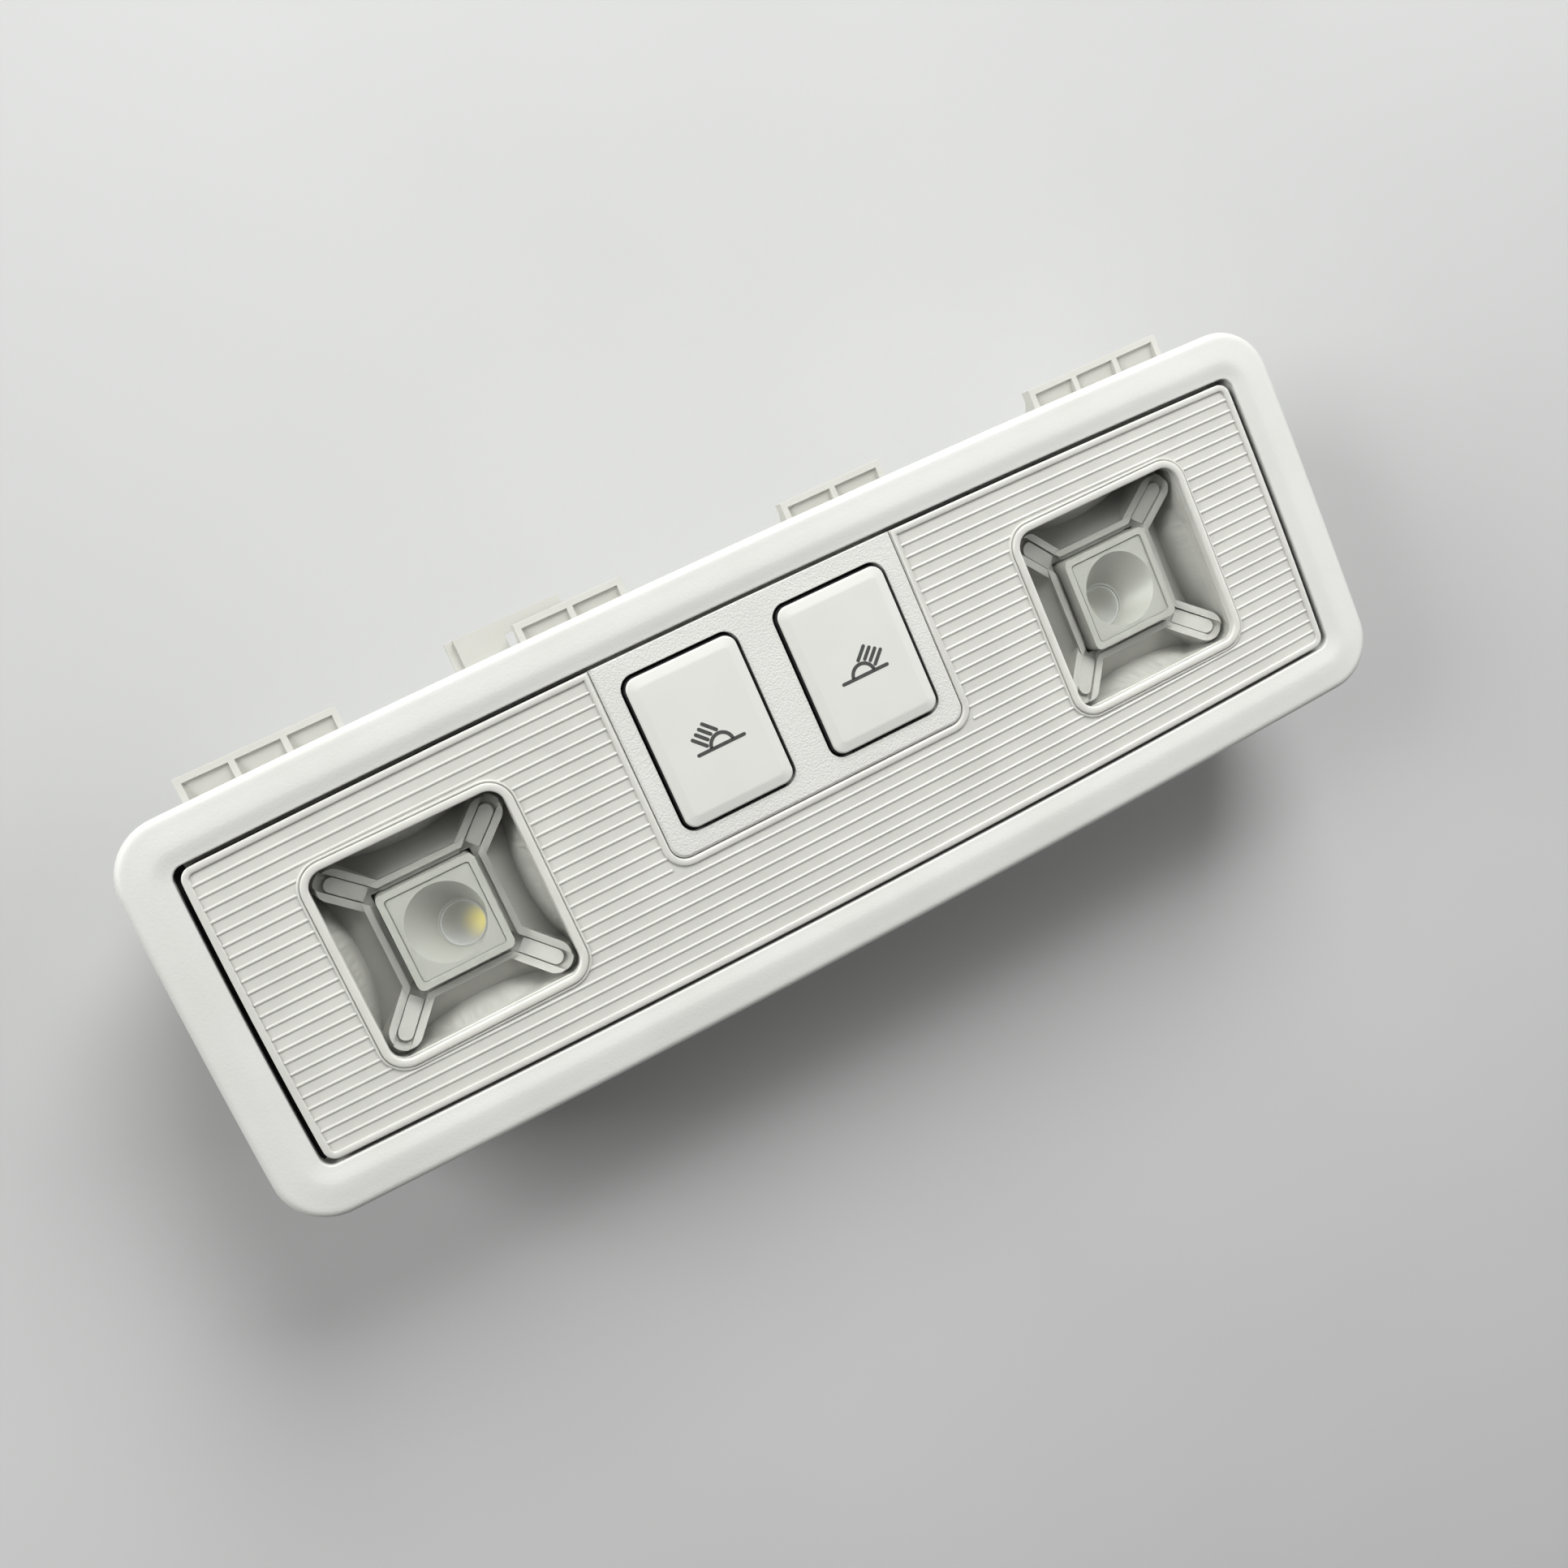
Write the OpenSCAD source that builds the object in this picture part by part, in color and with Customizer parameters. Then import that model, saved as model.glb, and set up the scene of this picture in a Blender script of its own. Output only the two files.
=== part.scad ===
// Rear roof reading and dome light, lying face up on the back of its housing.
// X runs along the lamp, Y towards the locating lugs and Z out of the lit face.
// The origin is the middle of the housing's back.

/* [Bezel] */
// Length of the bezel at its middle
bezel_l = 196.7; // [190:0.1:205]
// Width of the bezel at its middle
bezel_w = 65.2; // [63:0.1:72]
// Width of the flange at the two ends
flange_x = 7.3; // [6.8:0.1:9]
// Width of the flange along the long sides
flange_y = 7.3; // [7:0.1:9]
// How far the long edges bow out at their middle
edge_bow = 1.25; // [0.4:0.05:2]
// How far the short edges bow out at their middle
end_bow = 0.3; // [0.1:0.05:0.6]
// Outer corner radius
corner_r = 8.6; // [6:0.1:12]
// Corner radius of the window
window_r = 2; // [1.5:0.1:3]
// Rise of the bezel's crest over the lens face
crest_h = 0.25; // [0.1:0.05:1]
// Radius of the bezel's outer edge
edge_r = 1; // [0.5:0.1:1.4]
// Drop of the inner lip below the lens face
lip_drop = 0.45; // [0.3:0.05:1.6]
// Depth of the flange's back below the lens face
flange_t = 2.4; // [2:0.1:2.6]
// Thickness of the lip and of the snap skirt
skirt_t = 1.2; // [1:0.1:1.4]
// Depth of the snap skirt below the lens face
skirt_h = 7.2; // [6.8:0.1:7.4]

/* [Lens] */
// Gap between the bezel and the lens along the long sides
lens_gap = 0.6; // [0.4:0.1:1]
// Gap between the bezel and the lens at the two ends
lens_end_gap = 0.9; // [0.6:0.1:1.2]
// Corner radius of the lens
lens_r = 2.8; // [2:0.1:4]
// Thickness of the lens under its ribs
lens_t = 1.65; // [1.4:0.05:2]
// Height of the ribs
rib_h = 0.35; // [0.2:0.05:0.5]
// Width of a rib
rib_w = 0.5; // [0.3:0.02:0.6]
// Distance from one rib to the next
rib_pitch = 1.98; // [1.5:0.02:3]
// Width of the smooth bead around the lens
bead_w = 1.1; // [0.6:0.1:1.4]
// Width of the hidden flange that the bezel clamps
lens_flange_w = 2.4; // [2:0.1:2.8]
// Thickness of that flange
lens_flange_t = 1.4; // [1.2:0.1:1.6]

/* [Spot windows] */
// Distance of each window's middle from the lens's end
spot_inset = 30.05; // [28:0.05:32]
// Inside size of the square window
window_w = 30.4; // [28:0.1:31]
// Corner radius of the window
window_corner = 2.7; // [1.5:0.1:3.5]
// Width of the raised frame around it
frame_w = 1.75; // [1.4:0.05:2]
// Rise of that frame over the lens face
frame_h = 0.3; // [0.1:0.05:0.6]
// Depth of the clear pane below the lens face
pane_depth = 1.2; // [0.8:0.1:1.4]
// Thickness of the pane
pane_t = 1.2; // [1:0.1:1.3]

/* [Spot lights] */
// Side of the square reflector block
block_w = 15.6; // [14.6:0.1:16.4]
// Depth of its top below the lens face
block_depth = 3.2; // [2.9:0.1:3.6]
// Width of the rim around its recessed top
block_rim = 1; // [0.8:0.1:1.4]
// Radius of the cone's mouth
mouth_r = 6.1; // [5:0.1:6.3]
// Radius of the cone's small end
throat_r = 3.75; // [3.2:0.05:4]
// Depth of the small end below the lens face
throat_depth = 7.8; // [7:0.1:9]
// Shift of the small end towards the middle of the lamp
throat_dx = 2.2; // [1.5:0.1:2.4]
// Shift of the small end away from the lugs
throat_dy = 1.9; // [1.2:0.1:2.2]
// Side of the square channel around the block
well_w = 17.4; // [16.8:0.1:19]
// Width of the ridge around the channel
ridge_w = 1; // [0.6:0.05:1.3]
// Depth of the channel below the ridge
well_t = 1; // [0.6:0.1:2.6]
// Depth of the ridge below the lens face
ridge_depth = 5.5; // [5:0.1:6]
// Width of an arm over its two rims
arm_w = 5; // [4:0.1:5.4]
// Width of the groove in an arm
groove_w = 2.7; // [2.4:0.1:3.2]
// Depth of that groove
groove_t = 0.7; // [0.4:0.1:1.2]
// Slope of the arms up towards the corners, in degrees
arm_slope = 22; // [18:0.5:24]
// Radius of the bulged walls of the dish
bulge_r = 23; // [18:0.5:30]

/* [Switch panel] */
// Width of the panel
panel_w = 51.7; // [50:0.1:54]
// Lowest edge of the panel, measured from the middle of the lamp
panel_low = -7.25; // [-9:0.05:-6.5]
// Radius of its two lower corners
panel_r = 2.6; // [2:0.1:4]
// Thickness of its plate
panel_t = 2.2; // [2:0.1:2.4]
// Thickness of its standing walls
panel_wall = 1.2; // [1:0.1:1.4]

/* [Buttons] */
// Width of the panel between the two buttons
button_between = 7; // [6:0.1:9]
// Width of the panel beside a button
button_side = 3.55; // [3:0.05:5]
// Width of the panel below the buttons
button_below = 3.55; // [3:0.05:5]
// Width of the panel above the buttons, up to the lens's edge
button_above = 3.6; // [3:0.05:4.4]
// Corner radius of a button
button_r = 2; // [1.5:0.1:3]
// Rise of a button over the panel
button_h = 1; // [0.8:0.1:1.6]
// Width of the bevel around its top
button_bevel = 1.3; // [0.8:0.1:1.6]
// Gap around a button
button_gap = 0.45; // [0.3:0.05:0.6]
// Travel of a button
travel = 1; // [0.6:0.1:1.2]

/* [Inside] */
// Depth of the board's top below the lens face
board_depth = 14; // [13.5:0.1:16]
// Thickness of the board
board_t = 1.6; // [1.2:0.1:2]
// Distance of the board screws from the board's ends
screw_end = 6.45; // [6:0.05:7]
// Distance of the board screws from the board's long edges
screw_edge = 6.2; // [6:0.05:7]
// Radius of the board screws' shanks
screw_r = 1.1; // [1:0.05:1.3]
// Clearance around a screw's shank
screw_gap = 0.08; // [0.05:0.01:0.1]
// Length of a screw's shank
screw_l = 7; // [6:0.1:8]
// Radius of a screw's head
head_r = 2.3; // [2:0.1:2.5]
// Thickness of a screw's head
head_t = 1.2; // [1:0.1:1.4]
// Side of a tact switch
switch_w = 8; // [7:0.1:9]
// Height of a tact switch
switch_h = 3.5; // [3.2:0.1:4]
// Radius of a plunger
plunger_r = 1.75; // [1.4:0.05:2]
// Clearance around a plunger
plunger_gap = 0.08; // [0.05:0.01:0.1]
// Thickness of the diffuser sheet
diffuser_t = 0.8; // [0.6:0.1:1]
// Thickness of the reflector tray's walls
tray_wall = 1.2; // [1:0.1:1.4]
// Length of a chip resistor
chip_l = 3.2; // [2:0.1:3.2]
// Distance from one chip resistor to the next
chip_pitch = 5; // [4:0.1:6]

/* [Rear housing] */
// Height of the lens face over the housing's back
face_z = 33; // [32.5:0.5:40]
// Thickness of the housing's walls
case_wall = 2.4; // [2:0.1:2.6]
// Thickness of its floor
case_floor = 2; // [1.6:0.1:2.4]
// Height of the stiffening ribs on its back
back_rib_h = 1.4; // [1:0.1:2]
// Reach of the locating lugs beyond the housing's wall
lug_reach = 6.2; // [5.6:0.1:7.2]
// Depth of the lugs' tops below the lens face
lug_depth = 8; // [7.8:0.1:9]
// Height of a lug
lug_h = 2.6; // [2.2:0.1:3]
// Thickness of a lug's walls
lug_wall = 1; // [0.8:0.1:1.2]
// Length of the two outer lugs
lug_long = 25; // [22:0.5:28]
// Length of the two inner lugs
lug_short = 18; // [16:0.5:19]
// Distance of the outer lugs' middle from the housing's end
lug_inset = 21.35; // [20:0.25:24]
// Distance of the inner lugs from the middle
lug_near_x = 23; // [21:0.5:24]
// Depth of the deeper tab below the lens face
tab_depth = 12; // [11.4:0.1:13]
// Width of the tab
tab_w = 18.9; // [16:0.1:20]
// Distance of the tab's far side from the middle
tab_far = 42.1; // [40:0.1:44]
// Reach of the tab beyond the housing's wall
tab_reach = 7.7; // [7:0.1:9]
// Side of the square hole in the tab
tab_hole = 2.2; // [2:0.1:3]
// Distance from one rib on the back to the next
back_rib_pitch = 20; // [15:0.5:25]
// How far the tub steps in at its ends
step_in_x = 16; // [14:0.5:18]
// How far the tub steps in along its long sides
step_in_y = 5; // [4:0.5:6]

/* [Spring clips] */
// Distance of each clip from the middle
clip_x = 49; // [46:0.5:52]
// Width of a clip
clip_w = 12; // [10:0.5:14]
// Thickness of its steel strip
clip_t = 0.6; // [0.5:0.05:0.7]
// Depth of the fold below the lens face
clip_depth = 9.6; // [9.4:0.1:10]

/* [Connector] */
// Inside width of the connector socket
socket_w = 14; // [12:0.5:16]
// Inside height of the connector socket
socket_h = 6.8; // [6:0.1:7]
// Depth of the socket
socket_deep = 12; // [11:0.5:14]
// Thickness of the socket's walls
socket_wall = 1; // [0.8:0.1:1.2]
// Distance from one pin to the next
pin_pitch = 3; // [2.5:0.1:3.2]
// Side of a pin
pin_w = 0.6; // [0.5:0.05:0.7]

/* [Hidden] */
$fn = 48;
// Small gap that keeps neighbours apart
slack = 0.2;
// Overlap that joins two shapes of one piece
bond = 0.4;

// Steps of a rounded corner, of a long edge and of a short edge
corner_steps = 8;
edge_steps = 14;
end_steps = 2;

half_l = bezel_l / 2;
half_w = bezel_w / 2;
window_x = half_l - flange_x;
window_y = half_w - flange_y;
lens_x = window_x - lens_end_gap;
lens_y = window_y - lens_gap;
spot_x = lens_x - spot_inset;
lens_wall = 1.1;
lens_back = rib_h + lens_t;
diffuser_depth = lens_back + slack;
tray_depth = diffuser_depth + diffuser_t;

// The lens flange lies under the bezel's lip, and the housing's ledge carries it
lip_h = lens_back + 1;
lens_flange_depth = lip_h + slack;
ledge_depth = lens_flange_depth + lens_flange_t;
flange_half_x = lens_x + lens_flange_w;
flange_half_y = lens_y + lens_flange_w;
flange_r = 3;
// Width of the ledge
ledge_w = 0.8;
case_x = flange_half_x + slack + case_wall - ledge_w;
case_y = flange_half_y + slack + case_wall - ledge_w;
case_r = 7;
cavity_x = case_x - case_wall;
cavity_y = case_y - case_wall;
skirt_gap = 0.3;

board_z = face_z - board_depth;
// The tub steps in behind the board, and its lower part is the well
seat_h = 1.8;
step_depth = board_depth + board_t + seat_h + case_floor;
well_end = case_x - step_in_x;
well_side = case_y - step_in_y;
boss_low = board_z - screw_l - 1.4;
boss_r = 3.2;

pocket_half = window_w / 2 + frame_w;
pocket_r = window_corner + frame_w;
trim_half = window_w / 2 + 1.2;
trim_depth = pane_depth + pane_t + slack;
trim_inner = window_w / 2 + 0.2;
dish_depth = board_depth - 1.4;

panel_half = panel_w / 2;
button_w = panel_half - button_side - button_between / 2;
button_x = (button_between + button_w) / 2;
button_l = lens_y - button_above - panel_low - button_below;
button_y = panel_low + button_below + button_l / 2;
notch_gap = 0.12;
stop_flange = button_gap + 0.3;
panel_top_wall = 0.9;
stem_r = 2.2;
button_skirt = 5.5;
plunger_top = board_depth - switch_h - 1.5;

board_gap = 0.6;
board_x = lens_x - board_gap;
board_y = lens_y - board_gap;
screw_x = board_x - screw_end;
screw_y = board_y - screw_edge;
screw_xs = [-screw_x, screw_x];
screw_ys = [-screw_y, screw_y];
socket_x = well_end - socket_deep;
socket_rise = 0.4;
socket_z = back_rib_h + case_floor + socket_rise;
pin_reach = 6;
// Two lights stand past each window, and a row of four below the panel
light_hole_r = 2.6;
light_end_x = (spot_x + pocket_half + lens_x) / 2;
light_end_y = screw_y - 7.5;
row_x = spot_x - pocket_half - 8.65;
row_y = (panel_low - lens_y) / 2;
ambient_spots = concat([for (x = [-1, 1], y = [-1, 1]) [x * light_end_x, y * light_end_y]],
    [for (k = [-3:2:3]) [k * row_x / 3, row_y]]);

light_grey = [0.88, 0.88, 0.86];
trim_grey = [0.72, 0.72, 0.71];

// Points of one rounded corner of a bowed outline
function corner(a, b, r, sx, sy, start) =
    let(cx = a - r - end_bow * pow((b - r) / b, 2), cy = b - r - edge_bow * pow((a - r) / a, 2))
    [for (i = [0:corner_steps]) let(t = start + 90 * i / corner_steps)
        [sx * cx + r * cos(t), sy * cy + r * sin(t)]];

// Inner points of a long edge, from the right on the lug side and from the left on the other
function long_edge(a, b, r, side) =
    [for (i = [1:edge_steps - 1]) let(x = (a - r) * (1 - 2 * i / edge_steps))
        [side * x, side * (b - edge_bow * pow(x / a, 2))]];

// Inner points of a short edge
function short_edge(a, b, r, side) =
    [for (i = [1:end_steps - 1]) let(y = (b - r) * (1 - 2 * i / end_steps))
        [-side * (a - end_bow * pow(y / b, 2)), side * y]];

// Closed outline with bowed edges: half length a, half width b and corner radius r
function bowed(a, b, r) = concat(
    corner(a, b, r, 1, 1, 0), long_edge(a, b, r, 1),
    corner(a, b, r, -1, 1, 90), short_edge(a, b, r, 1),
    corner(a, b, r, -1, -1, 180), long_edge(a, b, r, -1),
    corner(a, b, r, 1, -1, 270), short_edge(a, b, r, -1));

function smooth(t) = let(c = max(0, min(1, t))) c * c * (3 - 2 * c);

// Share of a straight rise that is done at t, with softened ends
function ramp(t) = 0.7 * max(0, min(1, t)) + 0.3 * smooth(t);

// Height of the bezel's face at a share of the way from its outer edge to the window
function bezel_rise(u) = crest_h * ramp((u - 0.14) / 0.46)
    - (crest_h + lip_drop) * ramp((u - 0.6) / 0.4);

// Outline of the lens, drawn in from its edge
module lens_outline(inset) {
    polygon(bowed(lens_x - inset, lens_y - inset, max(lens_r - inset, 0.6)));
}

// Rectangle with round corners
module rounded(hx, hy, r) {
    square([2 * hx, 2 * (hy - r)], center = true);
    square([2 * (hx - r), 2 * hy], center = true);
    for (sx = [-1, 1], sy = [-1, 1]) translate([sx * (hx - r), sy * (hy - r)]) circle(r);
}

// The switch panel's place in the lens: open towards the lugs
module notch(grow) {
    low = panel_low - grow;
    hx = panel_half + grow;
    r = panel_r + grow;
    translate([-hx, low + r]) square([2 * hx, half_w - low]);
    translate([-hx + r, low]) square([2 * (hx - r), r + 1]);
    for (s = [-1, 1]) translate([s * (hx - r), low + r]) circle(r);
}

module both_spots() {
    for (s = [-1, 1]) translate([s * spot_x, 0]) children();
}

// The two windows with their frames in plan, drawn out from the frames' edges
module pocket_area(grow) {
    both_spots() rounded(pocket_half + grow, pocket_half + grow, pocket_r + grow);
}

// A flat sheet between two depths below the lens face
module layer(top, bottom) {
    translate([0, 0, face_z - bottom]) linear_extrude(bottom - top) children();
}

module bezel_shell() {
    outer = bowed(half_l, half_w, corner_r);
    inner = bowed(window_x, window_y, window_r);
    edge_steps_up = 4;
    face_steps = 12;
    // Each row is a share of the way to the window and a height over the lens face
    edge = [for (i = [0:edge_steps_up]) let(t = 90 * i / edge_steps_up)
        [edge_r / flange_x * (1 - cos(t)), edge_r * (sin(t) - 1)]];
    face = [for (i = [1:face_steps]) let(u = edge_r / flange_x
            + (1 - edge_r / flange_x) * i / face_steps) [u, bezel_rise(u)]];
    under = [[1, -lip_h], [1 - skirt_t / flange_x, -lip_h], [1 - skirt_t / flange_x, -flange_t],
        [0.04, -flange_t], [0, -flange_t + 0.3]];
    rows = concat(edge, face, under);
    n = len(outer);
    m = len(rows);
    points = [for (row = rows, i = [0:n - 1])
        [outer[i].x * (1 - row[0]) + inner[i].x * row[0],
         outer[i].y * (1 - row[0]) + inner[i].y * row[0], face_z + row[1]]];
    faces = [for (j = [0:m - 1], i = [0:n - 1]) let(k = (j + 1) % m, l = (i + 1) % n)
        each [[j * n + i, k * n + i, k * n + l], [j * n + i, k * n + l, j * n + l]]];
    polyhedron(points, faces, convexity = 6);
}

// Places of the snap barbs: middle of each barb and the turn of its side
snap_places = concat(
    [for (k = [-1:1]) [k * case_x / 2, case_y, 0]],
    [for (k = [-3:2:3]) [k * case_x / 4, -case_y, 180]],
    [for (s = [-1, 1]) [s * case_x, 0, -90 * s]]);
snap_w = 6;
snap_side = 0.5;
snap_low = 6.4;
snap_h = 1.5;

module at_snaps() {
    for (p = snap_places) translate([p[0], p[1], face_z]) rotate(p[2]) children();
}

module bezel() {
    color(light_grey) {
        bezel_shell();
        difference() {
            layer(flange_t - bond, skirt_h) difference() {
                rounded(case_x + skirt_gap + skirt_t, case_y + skirt_gap + skirt_t,
                    case_r + skirt_gap + skirt_t);
                rounded(case_x + skirt_gap, case_y + skirt_gap, case_r + skirt_gap);
            }
            at_snaps() translate([-snap_w / 2 - snap_side, -1, -snap_low - skirt_gap])
                cube([snap_w + 2 * snap_side, 4, snap_h + 2 * skirt_gap]);
        }
    }
}

// One row of ribs, each bowed in proportion to its distance from the middle
module rib_field() {
    count = floor((lens_y - bead_w - rib_w) / rib_pitch);
    bow = edge_bow / lens_y;
    reach = lens_x - bead_w - slack;
    steps = 8;
    for (i = [-count:count]) {
        y = i * rib_pitch;
        line = [for (k = [0:steps]) let(x = reach * (1 - 2 * k / steps))
            [x, y * (1 - bow * pow(x / lens_x, 2))]];
        polygon(concat([for (p = line) [p.x, p.y + rib_w / 2]],
            [for (k = [steps:-1:0]) [line[k].x, line[k].y - rib_w / 2]]));
    }
}

module lens() {
    color([0.85, 0.87, 0.88, 0.4]) {
        difference() {
            union() {
                layer(rib_h, lens_back) lens_outline(0);
                layer(0, rib_h + bond) difference() {
                    lens_outline(0);
                    lens_outline(bead_w);
                }
                layer(0, rib_h + bond) difference() {
                    rib_field();
                    notch(notch_gap + bead_w + slack);
                    pocket_area(slack);
                }
                layer(0, rib_h + bond) intersection() {
                    lens_outline(0);
                    difference() {
                        notch(notch_gap + bead_w);
                        notch(notch_gap);
                    }
                }
                layer(-frame_h, pane_depth + pane_t) both_spots()
                    rounded(pocket_half, pocket_half, pocket_r);
            }
            layer(-1, pane_depth) both_spots() rounded(window_w / 2, window_w / 2, window_corner);
            layer(-1, lens_back + 1) notch(notch_gap);
        }
        lens_skirt();
    }
}

// Side wall of the lens and the flange that the bezel clamps
module lens_skirt() {
    difference() {
        union() {
            layer(lens_back - bond, lens_flange_depth + bond) lens_outline(0);
            layer(lens_flange_depth, ledge_depth) rounded(flange_half_x, flange_half_y, flange_r);
        }
        layer(lens_back - 1, ledge_depth + 1) lens_outline(lens_wall);
        layer(lens_back - 1, lens_flange_depth) notch(notch_gap);
    }
}

// The light box's area in plan, drawn in from its edge
module box_area(inset) {
    difference() {
        lens_outline(lens_wall + slack + inset);
        notch(notch_gap + slack + inset);
        pocket_area(slack + inset);
    }
}

module diffuser() {
    color([0.93, 0.93, 0.91]) layer(diffuser_depth, tray_depth) box_area(0);
}

module reflector_tray() {
    foot_h = 1.4;
    tray_floor = board_depth - foot_h - tray_wall;
    color("white") difference() {
        layer(tray_depth, board_depth) box_area(0);
        layer(tray_depth - 1, tray_floor) box_area(tray_wall);
        layer(board_depth - foot_h, board_depth + 1) box_area(tray_wall);
        for (p = ambient_spots) translate([p.x, p.y, face_z - board_depth])
            cylinder(h = foot_h + 2 * tray_wall, r = light_hole_r);
    }
}

// The panel's area in plan: its standing walls keep clear of the lens flange
module panel_area(inset, edge_inset) {
    intersection() {
        notch(-inset);
        lens_outline(edge_inset);
    }
}

module at_buttons() {
    for (s = [-1, 1]) translate([s * button_x, button_y]) children();
}

module switch_panel() {
    color(light_grey) difference() {
        union() {
            layer(0, panel_t) panel_area(0, 0);
            layer(panel_t - bond, board_depth) difference() {
                panel_area(0, lens_wall + slack);
                panel_area(panel_wall, lens_wall + slack + panel_top_wall);
            }
        }
        layer(-1, panel_t + 1) at_buttons() rounded(button_w / 2 + button_gap,
            button_l / 2 + button_gap, button_r + button_gap);
    }
}

module button(side) {
    hx = button_w / 2;
    hy = button_l / 2;
    bevel_low = 0.2;
    translate([side * button_x, button_y, face_z]) {
        color(light_grey) {
            hull() {
                translate([0, 0, -bevel_low]) linear_extrude(0.1) rounded(hx, hy, button_r);
                translate([0, 0, button_h - 0.35]) linear_extrude(0.1)
                    rounded(hx - button_bevel * 0.55, hy - button_bevel * 0.55, button_r * 0.8);
                translate([0, 0, button_h - 0.1]) linear_extrude(0.1)
                    rounded(hx - button_bevel, hy - button_bevel, button_r * 0.6);
            }
            difference() {
                union() {
                    translate([0, 0, -button_skirt]) linear_extrude(button_skirt - bevel_low)
                        rounded(hx, hy, button_r);
                    translate([0, 0, -panel_t - 1.2]) linear_extrude(1)
                        rounded(hx + stop_flange, hy + stop_flange, button_r + stop_flange);
                }
                translate([0, 0, -button_skirt - 1]) linear_extrude(button_skirt + 0.2)
                    rounded(hx - 1.3, hy - 1.3, 1);
            }
            translate([0, 0, -plunger_top]) cylinder(h = plunger_top - 0.5, r = stem_r);
            translate([-hx + 1, -0.5, -button_skirt]) cube([2 * hx - 2, 1, button_skirt - 0.5]);
            translate([-0.5, -hy + 1, -button_skirt]) cube([1, 2 * hy - 2, button_skirt - 0.5]);
        }
    }
}

module button_left() { button(-1); }
module button_right() { button(1); }

// A spot light's piece, drawn for the left side and mirrored for the right
module at_spot(side) {
    mirror([side > 0 ? 1 : 0, 0, 0]) translate([-spot_x, 0, face_z]) children();
}

// Pyramid frustum made of two crossed roofs, its top at one depth and its eaves at another
module crossed_roofs(top_half, top, eave_half, eave, base) {
    roof = [[-eave_half, -base], [eave_half, -base], [eave_half, -eave], [top_half, -top],
        [-top_half, -top], [-eave_half, -eave]];
    intersection() {
        rotate([90, 0, 0]) translate([0, 0, -eave_half]) linear_extrude(2 * eave_half)
            polygon(roof);
        rotate([90, 0, 90]) translate([0, 0, -eave_half]) linear_extrude(2 * eave_half)
            polygon(roof);
    }
}

// An arm along the first diagonal, from the channel's corner up to the dish's corner
module arm(w, top, height, reach) {
    start = well_w / sqrt(2);
    rotate(45) translate([start, 0, -ridge_depth + top]) rotate([0, -arm_slope, 0])
        translate([-start / 3, 0, -height]) {
            translate([0, -w / 2, 0]) cube([reach + start / 3, w, height]);
            translate([reach + start / 3, 0, 0]) cylinder(h = height, r = w / 2);
        }
}

module spot_trim() {
    hw = well_w / 2;
    ridge_half = hw + ridge_w;
    slope_top = ridge_depth + 1.3;
    shell = 1.3;
    arm_short = 0.45;
    nook_r = 1.3;
    arm_reach = (window_w / 2 - arm_w / 2) * sqrt(2) - well_w / sqrt(2) - arm_short;
    outside = trim_half + 4;
    color(trim_grey) difference() {
        union() {
            difference() {
                layer_local(trim_depth, board_depth) rounded(trim_half, trim_half, 3);
                layer_local(trim_depth - 1, board_depth + 1) rounded(trim_inner, trim_inner, 2);
            }
            crossed_roofs(ridge_half, slope_top, trim_inner + 0.1, dish_depth - 1.2, dish_depth);
            layer_local(ridge_depth, dish_depth - 1) rounded(ridge_half, ridge_half, 0.8);
            // Bulged outer walls of the dish
            intersection() {
                layer_local(trim_depth, dish_depth) square(2 * trim_inner + 0.2, center = true);
                for (t = [0:90:270]) rotate(t) translate([0, trim_inner + bulge_r, -dish_depth])
                    cylinder(h = dish_depth - trim_depth, r1 = bulge_r + 3.6, r2 = bulge_r,
                        $fn = 96);
            }
            intersection() {
                layer_local(trim_depth, dish_depth) square(2 * trim_inner + 0.2, center = true);
                for (t = [0:90:270]) rotate(t) arm(arm_w, 0, 9, arm_reach);
            }
        }
        // Hollow under the dish's floor
        crossed_roofs(ridge_half - shell, slope_top + shell + 0.9, trim_inner - shell,
            dish_depth - shell + 1.2, board_depth + 1);
        layer_local(0, ridge_depth + well_t) {
            rounded(hw, hw, 0.6);
            for (t = [0:90:270]) rotate(t) translate([hw - nook_r / 2, hw - nook_r / 2])
                circle(nook_r);
        }
        for (t = [0:90:270]) rotate(t) arm(groove_w, 4, 4 + groove_t, arm_reach);
        layer_local(0, outside) square(block_w + 0.3, center = true);
    }
}

// A flat sheet between two depths, for pieces that are drawn from the lens face
module layer_local(top, bottom) {
    translate([0, 0, -bottom]) linear_extrude(bottom - top) children();
}

module spot_trim_left() { at_spot(-1) spot_trim(); }
module spot_trim_right() { at_spot(1) spot_trim(); }

// Slanting passage between two circles
module slanted(r_top, top, top_at, r_low, low, low_at) {
    hull() {
        translate([top_at.x, top_at.y, -top]) cylinder(h = 0.02, r = r_top, $fn = 64);
        translate([low_at.x, low_at.y, -low]) cylinder(h = 0.02, r = r_low, $fn = 64);
    }
}

led_at = [throat_dx * 1.8, -throat_dy * 1.8];

module spot_reflector() {
    half = block_w / 2;
    inset_depth = block_depth + 0.25;
    color(trim_grey) difference() {
        layer_local(block_depth, board_depth) rounded(half, half, 1.1);
        layer_local(0, inset_depth) rounded(half - block_rim, half - block_rim, 0.6);
        slanted(mouth_r, inset_depth - 0.03, [0, 0], throat_r, throat_depth,
            [throat_dx, -throat_dy]);
        slanted(throat_r - 0.2, throat_depth - 0.3, [throat_dx, -throat_dy], 2.6,
            board_depth + 0.1, led_at);
    }
}

module spot_reflector_left() { at_spot(-1) spot_reflector(); }
module spot_reflector_right() { at_spot(1) spot_reflector(); }

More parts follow.
